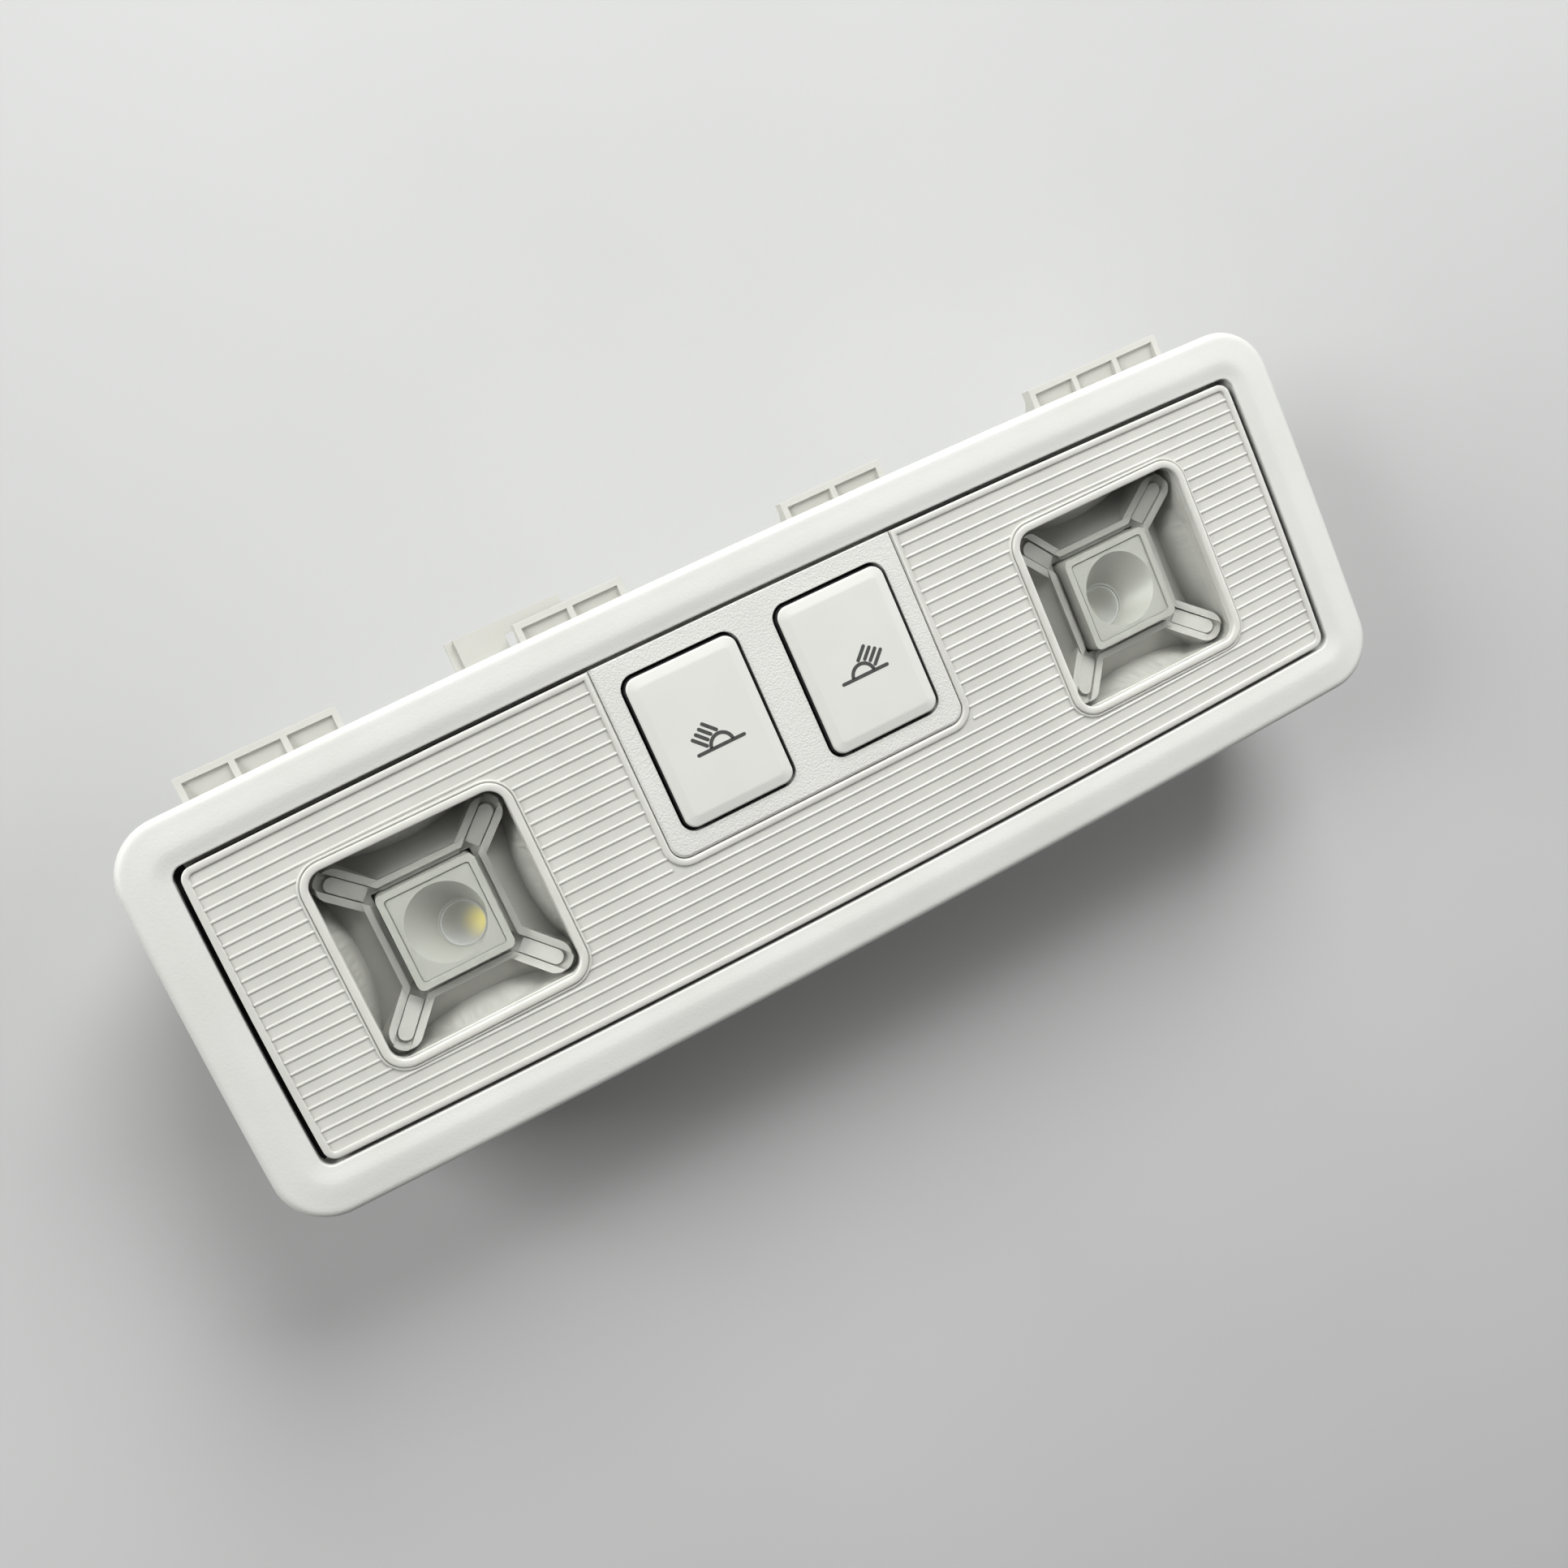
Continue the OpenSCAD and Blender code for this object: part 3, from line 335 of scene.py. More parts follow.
def solder_mask():
    """Board: glass fibre under green solder mask, with its tracks just standing out."""
    material, tree, shader, place = start_material(
        "Glass fibre, solder masked", {"Roughness": 0.32, "IOR": 1.52})
    tracks = add(tree, "ShaderNodeTexBrick",
                 {"Scale": 1 / (9 * MM), "Mortar Size": 0.05, "Color1": linear("1C6B3E"),
                  "Color2": linear("1F7344"), "Mortar": linear("2F8A57")},
                 {"Vector": place})
    tree.links.new(tracks.outputs[0], shader.inputs["Base Color"])
    bump = add(tree, "ShaderNodeBump", {"Strength": 0.6, "Distance": 0.035 * MM},
               {"Height": tracks.outputs["Fac"]})
    tree.links.new(bump.outputs[0], shader.inputs["Normal"])
    return material


def black_nylon():
    """Connector, chip and switch bodies: glass filled nylon, moulded, nearly black."""
    return finish("Nylon, glass filled black", ("232426", "2B2C2E", 1.2 * MM),
                  skin=(0.35 * MM, 0.012 * MM, 0.5, 4), Roughness=0.45, IOR=1.53)


def acetal():
    """Plungers: natural acetal, turned smooth and waxy."""
    return finish("Acetal, natural", ("DCD8CB", "D5D0C1", 1.5 * MM), Roughness=0.32)


def drawn_aluminium():
    """Capacitor: drawn aluminium can with faint lines along the draw."""
    return finish("Aluminium, drawn", ("D4D6D8", "C6C8CA", 1.5 * MM),
                  skin=(0.08 * MM, 0.004 * MM, 0.5, 2), draw=(1, 1, 0.1),
                  Roughness=0.28, Metallic=1)


def tinned_brass():
    """Pins: stamped brass, bright from tinning, with a warm edge."""
    return finish("Brass, stamped", ("D9B36A", "CFA557", 0.8 * MM), Roughness=0.25,
                  Metallic=1)


def zinced_steel():
    """Spring clips and screws: steel strip, rolled and zinc plated, with faint rolling lines."""
    return finish("Steel, zinc plated", ("C9CCD1", "B4B8BE", 2.5 * MM),
                  skin=(0.12 * MM, 0.005 * MM, 0.5, 3), draw=(0.06, 1, 1),
                  Roughness=0.3, Metallic=1)


def matt_floor(colours):
    """Floor: matt laminate, plain and pale."""
    return finish("Laminate, matt", (colours.floor, "C7C8C7", 120 * MM),
                  skin=(0.8 * MM, 0.01 * MM, 0.4, 2), Roughness=0.75)


def finish_of(maker, *args):
    """The material that a maker gives, made when it is first asked for."""
    scene = bpy.context.scene
    found = bpy.data.materials.get(scene.get(maker.__name__, ""))
    if found is None:
        found = maker(*args)
        scene[maker.__name__] = found.name
    return found


# Meshes

def new_piece(name, mesh, body, replaces=(), smooth=math.radians(38), flats=False):
    """Puts a finished mesh into the scene as a piece that rides on a CAD body. With flats,
    broad faces shade flat and only the small radii between them shade round."""
    mesh.shade_smooth()
    mesh.set_sharp_from_angle(angle=smooth)
    if flats:
        weighed = working(mesh)
        weighed.modifiers.new("Flat faces", "WEIGHTED_NORMAL").keep_sharp = True
        mesh = applied(weighed)
    mesh.name = name
    piece = working(mesh, name)
    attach(piece, body)
    if replaces:
        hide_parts(*replaces)
    return piece


def applied(obj):
    """The plain mesh that an object's modifiers make. The object itself is removed."""
    bpy.context.view_layer.update()
    graph = bpy.context.evaluated_depsgraph_get()
    mesh = bpy.data.meshes.new_from_object(obj.evaluated_get(graph), depsgraph=graph)
    bpy.data.objects.remove(obj)
    return mesh


def working(data, name="work"):
    """An object in the scene that holds a mesh, a light or a camera. Most of them pass away
    once their modifiers are worked out."""
    obj = bpy.data.objects.new(name, data)
    bpy.context.scene.collection.objects.link(obj)
    return obj


@contextmanager
def editing(mesh):
    """A mesh opened for editing, and written back at the end."""
    bm = bmesh.new()
    bm.from_mesh(mesh)
    yield bm
    bm.to_mesh(mesh)
    bm.free()


def built(name, bm):
    """A new mesh from what a bmesh holds."""
    mesh = bpy.data.meshes.new(name)
    bm.to_mesh(mesh)
    bm.free()
    return mesh


def merged_copy(node_name, flat=math.radians(0.4)):
    """A copy of a CAD node's mesh with its doubles merged and its flat faces joined."""
    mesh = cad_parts[node_name].data.copy()
    with editing(mesh) as bm:
        bmesh.ops.remove_doubles(bm, verts=bm.verts, dist=0.0005 * MM)
        bmesh.ops.dissolve_limit(bm, angle_limit=flat, verts=bm.verts, edges=bm.edges)
    if "custom_normal" in mesh.attributes:
        mesh.attributes.remove(mesh.attributes["custom_normal"])
    return mesh


def moulded_copy(node_name, radius, sharp=math.radians(32), front=None):
    """A CAD node's form with the small radii that a mould gives its edges. A front radius
    rounds the outline of its top more than the rest."""
    mesh = merged_copy(node_name)
    low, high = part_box(node_name)
    near, border = 0.01 * MM, 2.7 * MM
    with editing(mesh) as bm:
        weights = bm.edges.layers.float.new("bevel_weight_edge")
        for edge in bm.edges:
            if edge.calc_face_angle(0) < sharp:
                continue
            outline = all(v.co.z > high.z - near and (
                min(v.co.x - low.x, high.x - v.co.x, v.co.y - low.y) < border)
                for v in edge.verts)
            edge[weights] = 1 if front is None or outline else radius / front
    obj = working(mesh)
    bevel = obj.modifiers.new("Mould radii", "BEVEL")
    bevel.width = front or radius
    bevel.segments = 5 if front else 2
    bevel.limit_method = "WEIGHT"
    bevel.use_clamp_overlap = True
    return applied(obj)


def closed(mesh):
    """The same mesh, with any face that a union has dropped put back."""
    with editing(mesh) as bm:
        bmesh.ops.holes_fill(bm, edges=[e for e in bm.edges if e.is_boundary], sides=0)
        bmesh.ops.recalc_face_normals(bm, faces=bm.faces)
    return mesh


def one_material(mesh, material):
    """The same mesh, all of it in one material."""
    mesh.materials.clear()
    mesh.materials.append(material)
    mesh.polygons.foreach_set("material_index", [0] * len(mesh.polygons))
    return mesh


def loft(name, rings, ring_loop=False):
    """Skin through rings that all have as many points. The ends are capped, unless the last
    ring joins the first."""
    bm = bmesh.new()
    rows = [[bm.verts.new(p) for p in ring] for ring in rings]
    for low, high in zip(rows, rows[1:] + rows[:1] if ring_loop else rows[1:]):
        for a, b, c, d in zip(low, low[1:] + low[:1], high[1:] + high[:1], high):
            bm.faces.new((a, b, c, d))
    if not ring_loop:
        bm.faces.new(rows[0])
        bm.faces.new(rows[-1])
    bmesh.ops.recalc_face_normals(bm, faces=bm.faces)
    return built(name, bm)


def gathered(name, meshes):
    """One mesh of several loose ones."""
    bm = bmesh.new()
    for mesh in meshes:
        bm.from_mesh(mesh)
    return built(name, bm)


def arc_points(centre, radius, start, steps, sweep=90):
    """Points of an arc, from a start angle and over a sweep in degrees."""
    turns = [math.radians(start + sweep * i / steps) for i in range(steps + 1)]
    return [(centre[0] + radius * math.cos(t), centre[1] + radius * math.sin(t)) for t in turns]


def circle_points(centre, radius, count):
    """Points all round a circle."""
    return arc_points(centre, radius, 0, count, 360)[:-1]


def quarter_round(steps):
    """Shares of the run and of the rise that a quarter round has done after each step."""
    turns = [math.pi / 2 * i / steps for i in range(1, steps + 1)]
    return [(1 - math.cos(t), math.sin(t)) for t in turns]


def rounded_outline(hx, hy, r, steps=8, centre=(0, 0)):
    """Rectangle with round corners, as points anticlockwise."""
    points = []
    for start, sx, sy in CORNERS:
        middle = (centre[0] + sx * (hx - r), centre[1] + sy * (hy - r))
        points += arc_points(middle, r, start, steps)
    return points


def bowed_outline(a, b, r, sizes, steps=12, long_steps=64, short_steps=16):
    """Outline with bowed edges: half length a, half width b and corner radius r."""
    points = []
    cx = a - r - sizes.end_bow * ((b - r) / b) ** 2
    cy = b - r - sizes.edge_bow * ((a - r) / a) ** 2
    for start, sx, sy in CORNERS:
        points += arc_points((sx * cx, sy * cy), r, start, steps)
        if start % 180 == 0:
            for i in range(1, long_steps):
                x = sx * (a - r) * (1 - 2 * i / long_steps)
                points.append((x, sy * (b - sizes.edge_bow * (x / a) ** 2)))
        else:
            for i in range(1, short_steps):
                y = sy * (b - r) * (1 - 2 * i / short_steps)
                points.append((sx * (a - sizes.end_bow * (y / b) ** 2), y))
    return points


def ramp(t, soft=0.55):
    """Share of a rise that is done at t: partly straight, and partly with soft ends."""
    t = max(0.0, min(1.0, t))
    return (1 - soft) * t + soft * t * t * (3 - 2 * t)


def prism(outline, low, high):
    """Two rings of an upright prism."""
    return [[(x, y, z) for x, y in outline] for z in (low, high)]


def boolean(obj, other, operation):
    """Joins or cuts an object with another one, which is removed."""
    change = obj.modifiers.new(operation.title(), "BOOLEAN")
    change.operation = operation
    change.solver = "EXACT"
    change.use_self = operation == "UNION"
    change.object = other
    mesh = applied(obj)
    bpy.data.objects.remove(other)
    return working(mesh)


# Geometry Nodes trees

def bead_sweep_tree():
    """Sweeps a bead along every edge of a mesh. Its section goes from round to square."""
    tree = bpy.data.node_groups.new("Bead sweep", "GeometryNodeTree")
    numbers = [(name, "Float") for name in ("Width", "Height", "Sink", "Squareness")]
    for name, kind in [("Geometry", "Geometry"), *numbers, ("Material", "Material")]:
        tree.interface.new_socket(name, in_out="INPUT", socket_type=f"NodeSocket{kind}")
    tree.interface.new_socket("Geometry", in_out="OUTPUT",
                              socket_type="NodeSocketGeometry")
    given = add(tree, "NodeGroupInput")
    path = add(tree, "GeometryNodeMeshToCurve", links={0: given.outputs["Geometry"]})
    upright = add(tree, "GeometryNodeSetCurveNormal", links={0: path}, mode="Z_UP")
    # A superellipse: the squareness bends it from round to flat topped
    circle = add(tree, "GeometryNodeCurvePrimitiveCircle", {"Resolution": 16, "Radius": 1})
    point = add(tree, "GeometryNodeInputPosition")
    split = add(tree, "ShaderNodeSeparateXYZ", links={0: point})
    bent = []
    for axis in split.outputs[:2]:
        size = add(tree, "ShaderNodeMath", links={0: axis}, operation="ABSOLUTE")
        power = add(tree, "ShaderNodeMath", links={0: size, 1: given.outputs["Squareness"]},
                    operation="POWER")
        sign = add(tree, "ShaderNodeMath", links={0: axis}, operation="SIGN")
        bent.append(add(tree, "ShaderNodeMath", links={0: power, 1: sign},
                        operation="MULTIPLY"))
    half = add(tree, "ShaderNodeMath", {1: 0.5}, {0: given.outputs["Width"]},
               operation="MULTIPLY")
    across = add(tree, "ShaderNodeMath", links={0: bent[0], 1: half}, operation="MULTIPLY")
    # The swept section's own Y axis points down, so its top has the lowest values
    rise = add(tree, "ShaderNodeMath", links={0: bent[1], 1: given.outputs["Height"]},
               operation="MULTIPLY")
    above = add(tree, "ShaderNodeMath", links={0: rise, 1: given.outputs["Sink"]},
                operation="MINIMUM")
    moved = add(tree, "ShaderNodeCombineXYZ", links={0: across, 1: above})
    profile = add(tree, "GeometryNodeSetPosition", links={0: circle, "Position": moved})
    swept = add(tree, "GeometryNodeCurveToMesh", {"Fill Caps": True},
                {0: upright, 1: profile})
    real = add(tree, "GeometryNodeRealizeInstances", links={0: swept})
    dressed = add(tree, "GeometryNodeSetMaterial",
                  links={0: real, "Material": given.outputs["Material"]})
    add(tree, "NodeGroupOutput", links={0: dressed})
    return tree


def swept_beads(tree, paths, **values):
    """The beads that a tree sweeps along closed or open paths, its inputs given by name.
    Each path is a list of points and whether it closes."""
    points, edges = [], []
    for path, closes in paths:
        first = len(points)
        points += path
        edges += [(first + i, first + i + 1) for i in range(len(path) - 1)]
        if closes:
            edges.append((first + len(path) - 1, first))
    mesh = bpy.data.meshes.new("bead lines")
    mesh.from_pydata(points, edges, [])
    obj = working(mesh)
    change = obj.modifiers.new(tree.name, "NODES")
    change.node_group = tree
    sockets = {s.name: s.identifier for s in tree.interface.items_tree
               if s.item_type == "SOCKET" and s.in_out == "INPUT"}
    for name, value in values.items():
        change[sockets[name]] = value
    return working(applied(obj))


# Pieces

class LampOperator:
    """What the operators of this lamp share."""
    bl_options = {"REGISTER", "UNDO"}

    @property
    def sizes(self):
        return bpy.context.scene.lamp_sizes

    @property
    def colours(self):
        return bpy.context.scene.lamp_colours


class LAMP_OT_bezel(LampOperator, bpy.types.Operator):
    """Make the grained bezel with its bowed outline, soft crest and snap skirt"""
    bl_idname = "lamp.bezel"
    bl_label = "Bezel"

    def execute(self, context):
        sizes = self.sizes
        half_l, half_w = BEZEL_HIGH.x, BEZEL_HIGH.y
        outer = bowed_outline(half_l, half_w, sizes.corner_r, sizes)
        inner = bowed_outline(half_l - sizes.flange_x, half_w - sizes.flange_y,
                              sizes.window_r, sizes)
        rings = [[(ox + (ix - ox) * share, oy + (iy - oy) * share, sizes.face_z + height)
                  for (ox, oy), (ix, iy) in zip(outer, inner)]
                 for share, height in self.profile(sizes)]
        flange = working(loft("bezel flange", rings, ring_loop=True))
        mesh = applied(boolean(flange, self.skirt(sizes), "UNION"))
        one_material(mesh, finish_of(grained_abs, self.colours, sizes))
        new_piece("bezel_frame", mesh, "lamp", ["bezel"])
        return {"FINISHED"}

    def profile(self, sizes):
        """Rows of the section: a share of the way to the window, and a height."""
        width, edge_r, lip_r = sizes.flange_x, sizes.edge_r, 0.25 * MM
        edge_steps, face_steps, lip_steps = 8, 36, 4
        edge_run = 1.3 * edge_r
        start, end = edge_run / width, 1 - lip_r / width
        rows = [(0, -edge_r)]
        rows += [(start * run, edge_r * (rise - 1)) for run, rise in quarter_round(edge_steps)]
        # The face rises a little to its crest, then slopes straight down to a round lip
        rise_from, rise_run, drop_from, drop_run = 0.14, 0.46, 0.65, 0.35
        for i in range(1, face_steps + 1):
            u = start + (end - start) * i / face_steps
            rise = sizes.crest_h * ramp((u - rise_from) / rise_run)
            drop = (sizes.crest_h + sizes.lip_drop) * ramp((u - drop_from) / drop_run)
            rows.append((u, rise - drop))
        slope_end = rows[-1][1]
        rows += [(end + (1 - end) * rise, slope_end - lip_r * run)
                 for run, rise in quarter_round(lip_steps)]
        lip_low, back, chamfer = -3 * MM, -2.4 * MM, 0.3 * MM
        lip_side, back_side = 1 - 1.2 * MM / width, 0.04
        return rows + [(1, lip_low), (lip_side, lip_low), (lip_side, back),
                       (back_side, back), (0, back + chamfer)]

    def skirt(self, sizes):
        """The skirt behind the flange, with a window over each snap barb."""
        case_x, case_y, case_r = 94.35 * MM, 28.9 * MM, 7 * MM
        gap, wall = 0.3 * MM, 1.2 * MM
        top, low = sizes.face_z - 2 * MM, sizes.face_z - 7.2 * MM
        rings = []
        for grow, z in ((gap + wall, top), (gap + wall, low), (gap, low), (gap, top)):
            outline = rounded_outline(case_x + grow, case_y + grow, case_r + grow, steps=12)
            rings.append([(x, y, z) for x, y in outline])
        ring = working(loft("skirt", rings, ring_loop=True))
        places = [(k * case_x / 2, case_y, 0) for k in (-1, 0, 1)]
        places += [(k * case_x / 4, -case_y, 0) for k in (-3, -1, 1, 3)]
        places += [(s * case_x, 0, 90) for s in (-1, 1)]
        snap_z = sizes.face_z - 5.65 * MM
        half_span, half_depth, half_snap = 3.5 * MM, 4 * MM, 1.05 * MM
        for x, y, turn in places:
            window = bmesh.new()
            bmesh.ops.create_cube(window, size=2)
            window.transform(Matrix.Translation((x, y, snap_z))
                             @ Matrix.Rotation(math.radians(turn), 4, "Z")
                             @ Matrix.Diagonal((half_span, half_depth, half_snap, 1)))
            ring = boolean(ring, working(built("snap window", window)), "DIFFERENCE")
        return ring


class LAMP_OT_lens(LampOperator, bpy.types.Operator):
    """Make the milky lens with its fine ribs, rim and window frames, and its clear panes"""
    bl_idname = "lamp.lens"
    bl_label = "Lens"

    def execute(self, context):
        sizes = self.sizes
        clear = finish_of(polished_polycarbonate)
        tree = bead_sweep_tree()
        base = sizes.face_z - sizes.rim_h - 0.01 * MM
        rib_rise, frame_rise = 0.2 * MM, LENS_HIGH.z - base
        inner_w, outer_w = 1.25 * MM, 0.4 * MM
        whole = self.plate(sizes, base)
        # Ribs, rim, and the broad and the fine bead of the window frames
        for lines, width, height, squareness in (
                (self.rib_lines(sizes, base), sizes.rib_w, rib_rise, 1.1),
                (self.rim_lines(sizes, base), sizes.rim_w, sizes.rim_h, 0.6),
                (self.frame_lines(sizes, base, inner_w / 2), inner_w, frame_rise, 0.4),
                (self.frame_lines(sizes, base, sizes.frame_w - outer_w / 2), outer_w,
                 sizes.rim_h, 0.8)):
            beads = swept_beads(tree, lines, Width=width, Height=height, Sink=0.05 * MM,
                                Squareness=squareness, Material=clear)
            whole = boolean(whole, beads, "UNION")
        mesh = one_material(closed(applied(whole)), clear)
        mesh.materials.append(finish_of(etched_polycarbonate))
        mesh.materials.append(finish_of(painted_gap_shade))
        self.finish_faces(mesh, sizes, base)
        new_piece("lens_cover", mesh, "lamp", ["lens"])
        return {"FINISHED"}

    def finish_faces(self, mesh, sizes, base):
        """Polished on the window panes, black painted shade on the hidden side wall and its
        flange, and etched elsewhere."""
        polished, etched, gap_shade = 0, 1, 2
        lens_x, lens_y = self.lens_half(sizes)
        panes = [sizes.face_z - depth for depth in (PANE_FRONT, PANE_BACK)]
        near, skin, bend = 0.02 * MM, 0.05 * MM, 3 * MM
        for face in mesh.polygons:
            middle = face.center
            x, y = abs(middle.x), abs(middle.y)
            in_pane = max(abs(x - sizes.spot_x), y) < sizes.window_half
            level = abs(face.normal.z) > 0.99
            clear = level and in_pane and any(abs(middle.z - z) < near for z in panes)
            wall_x = lens_x - sizes.end_bow * (y / lens_y) ** 2 - skin
            wall_y = lens_y - sizes.edge_bow * (x / lens_x) ** 2 - skin
            corner = math.hypot(max(x - lens_x + bend, 0), max(y - wall_y + bend, 0))
            outside = x > wall_x or y > wall_y or corner > 2.7 * MM
            # Faces down in the gap round the lens get black painted shade
            hidden = outside and middle.z < base - 0.1 * MM
            face.material_index = gap_shade if hidden else polished if clear else etched

    def plate(self, sizes, base):
        """The lens as moulded, cut off level with the foot of its ribs. The undersides of
        the window frames are cut free of the panes, so that each has its own finish."""
        mesh = merged_copy("lens")
        half, pane_back, fine = sizes.window_half, sizes.face_z - PANE_BACK, 0.0001 * MM
        cuts = [(0, s * sizes.spot_x + t * half) for s in (-1, 1) for t in (-1, 1)]
        with editing(mesh) as bm:
            bmesh.ops.bisect_plane(bm, geom=bm.verts[:] + bm.edges[:] + bm.faces[:],
                                   dist=fine, plane_co=(0, 0, base), plane_no=(0, 0, 1),
                                   clear_outer=True)
            rim = [e for e in bm.edges if e.is_boundary]
            bmesh.ops.triangle_fill(bm, edges=rim, use_beauty=True, normal=(0, 0, 1))
            for axis, at in cuts + [(1, -half), (1, half)]:
                back = [f for f in bm.faces
                        if abs(f.calc_center_median().z - pane_back) < 0.01 * MM]
                parts = {*back, *(e for f in back for e in f.edges),
                         *(v for f in back for v in f.verts)}
                place, normal = [0, 0, 0], [0, 0, 0]
                place[axis], normal[axis] = at, 1
                bmesh.ops.bisect_plane(bm, geom=list(parts), dist=fine, plane_co=place,
                                       plane_no=normal)
        return working(mesh)

    def lens_half(self, sizes):
        """Half length and half width of the lens."""
        return (BEZEL_HIGH.x - sizes.flange_x - sizes.end_gap,
                BEZEL_HIGH.y - sizes.flange_y - sizes.side_gap)

    def rib_lines(self, sizes, z):
        """Middle line of each rib, broken at the windows and at the switch panel."""
        lens_x, lens_y = self.lens_half(sizes)
        edge = sizes.rim_w + 0.1 * MM
        bow = sizes.edge_bow / lens_y
        count = int((lens_y - edge - sizes.rib_w) / sizes.rib_pitch)
        pocket = sizes.window_half + sizes.frame_w - 0.2 * MM
        corner = sizes.window_corner + sizes.frame_w - 0.2 * MM
        panel_half, panel_low = PANEL_HIGH.x + 1 * MM, PANEL_LOW.y - 1 * MM
        steps, stride, shortest = 900, 40, 5
        lines = []
        for i in range(-count, count + 1):
            runs = [[]]
            for k in range(steps + 1):
                x = (lens_x - edge) * (2 * k / steps - 1)
                y = i * sizes.rib_pitch * (1 - bow * (x / lens_x) ** 2)
                dx, dy = abs(abs(x) - sizes.spot_x), abs(y)
                over = (max(dx - pocket + corner, 0), max(dy - pocket + corner, 0))
                in_window = dx < pocket and dy < pocket and math.hypot(*over) < corner
                in_panel = abs(x) < panel_half and y > panel_low
                if in_window or in_panel:
                    runs.append([])
                else:
                    runs[-1].append((x, y, z))
            # Each run keeps only as many points as its bow needs
            lines += [(run[:-1:stride] + [run[-1]], False) for run in runs
                      if len(run) >= shortest]
        return lines

    def rim_lines(self, sizes, z):
        """Rim along the lens's edge, round the switch panel's notch."""
        lens_x, lens_y = self.lens_half(sizes)
        inset, clear, corner_r, r = sizes.rim_w / 2 + 0.01 * MM, 0.15 * MM, 1.4 * MM, 3.3 * MM
        outline = bowed_outline(lens_x - inset, lens_y - inset, corner_r, sizes)
        side = PANEL_HIGH.x + inset + clear
        low = PANEL_LOW.y - inset - clear
        kept = [p for p in outline if not (abs(p[0]) < side + 0.2 * MM and p[1] > 0)]
        turn = next(i for i, p in enumerate(kept)
                    if p[1] > 0 and p[0] < -side and kept[i - 1][0] > side)
        around = kept[turn:] + kept[:turn]
        top = around[-1][1] - 0.02 * MM
        notch = [(side, top), *arc_points((side - r, low + r), r, 270, 8)[::-1],
                 *arc_points((-side + r, low + r), r, 180, 8)[::-1], (-side, top)]
        return [([(x, y, z) for x, y in around + notch], True)]

    def frame_lines(self, sizes, z, away):
        """Middle line of one raised bead round each spot window."""
        half, r = sizes.window_half + away, sizes.window_corner + away
        return [([(x, y, z) for x, y in rounded_outline(half, half, r, steps=10,
                                                        centre=(s * sizes.spot_x, 0))], True)
                for _, s in SIDES]


class LAMP_OT_buttons(LampOperator, bpy.types.Operator):
    """Make the two satin buttons with their soft bevels, skirts, stop flanges and stems"""
    bl_idname = "lamp.buttons"
    bl_label = "Buttons"

    def execute(self, context):
        sizes = self.sizes
        satin = finish_of(satin_abs, self.colours)
        painted_shade_top = sizes.face_z + 0.2 * MM
        for name, _ in SIDES:
            node = f"button_{name}"
            mesh = one_material(self.cap(sizes, *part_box(node)), satin)
            mesh.materials.append(finish_of(painted_shade_skirt))
            # Faces lower than just above the panel get black painted shade, for the dark gap
            # round the button
            for part in mesh.polygons:
                part.material_index = 1 if part.center.z < painted_shade_top else 0
            new_piece(f"button_cap_{name}", mesh, node, [node],
                      smooth=math.radians(50))
        return {"FINISHED"}

    def cap(self, sizes, low, high):
        """One shell from the middle of the top, over the bevel and skirt, to the ceiling."""
        middle = ((low + high) / 2).xy
        stop, wall, corner_r = 0.75 * MM, 1.3 * MM, 2 * MM
        hx, hy = (high.x - low.x) / 2 - stop, (high.y - low.y) / 2 - stop
        face, bevel = sizes.face_z, sizes.button_bevel
        top = high.z - 0.02 * MM
        rows = [(bevel + 4 * MM, top), (bevel + 1 * MM, top)]
        # Soft shoulder, shallow slope, round edge, and a drafted wall down to the panel
        shoulder, slope, edge_r, draft = 0.45 * MM, 0.21, 0.3 * MM, 0.16 * MM
        start, end = bevel + shoulder / 2, bevel - shoulder / 2
        for i in range(9):
            inset = start - shoulder * i / 8
            rows.append((inset, top - slope * (start - inset) ** 2 / (2 * shoulder)))
        for i in range(1, 5):
            inset = end + (draft + edge_r - end) * i / 4
            rows.append((inset, top - slope * (shoulder / 2 + end - inset)))
        edge = rows[-1][1]
        rows += [(draft + edge_r * (1 - rise), edge - edge_r * run)
                 for run, rise in quarter_round(4)]
        skirt_low, ceiling, inside = face - 5.5 * MM, face - 1 * MM, face - 0.9 * MM
        stop_top, stop_low = face - 2.4 * MM, face - 3.4 * MM
        rows += [(0, face), (0, stop_top), (-stop, stop_top), (-stop, stop_low),
                 (0, stop_low), (0, skirt_low), (wall, skirt_low), (wall, ceiling),
                 (wall + 3 * MM, ceiling)]
        # The corners grow tighter towards the middle, but never sharp
        tighten, tightest = 0.75, 0.5 * MM
        rings = [[(x, y, z) for x, y in rounded_outline(
            hx - inset, hy - inset, max(corner_r - inset * tighten, tightest), centre=middle)]
                 for inset, z in rows]
        shell = working(loft("button", rings))
        stem = prism(circle_points(middle, 2.2 * MM, 32), low.z, inside)
        shell = boolean(shell, working(loft("stem", stem)), "UNION")
        thin, clear = 0.5 * MM, 1 * MM
        for half in ((hx - clear, thin), (thin, hy - clear)):
            web = prism(rounded_outline(*half, 0.1 * MM, steps=2, centre=middle), skirt_low,
                        inside)
            shell = boolean(shell, working(loft("web", web)), "UNION")
        return applied(shell)


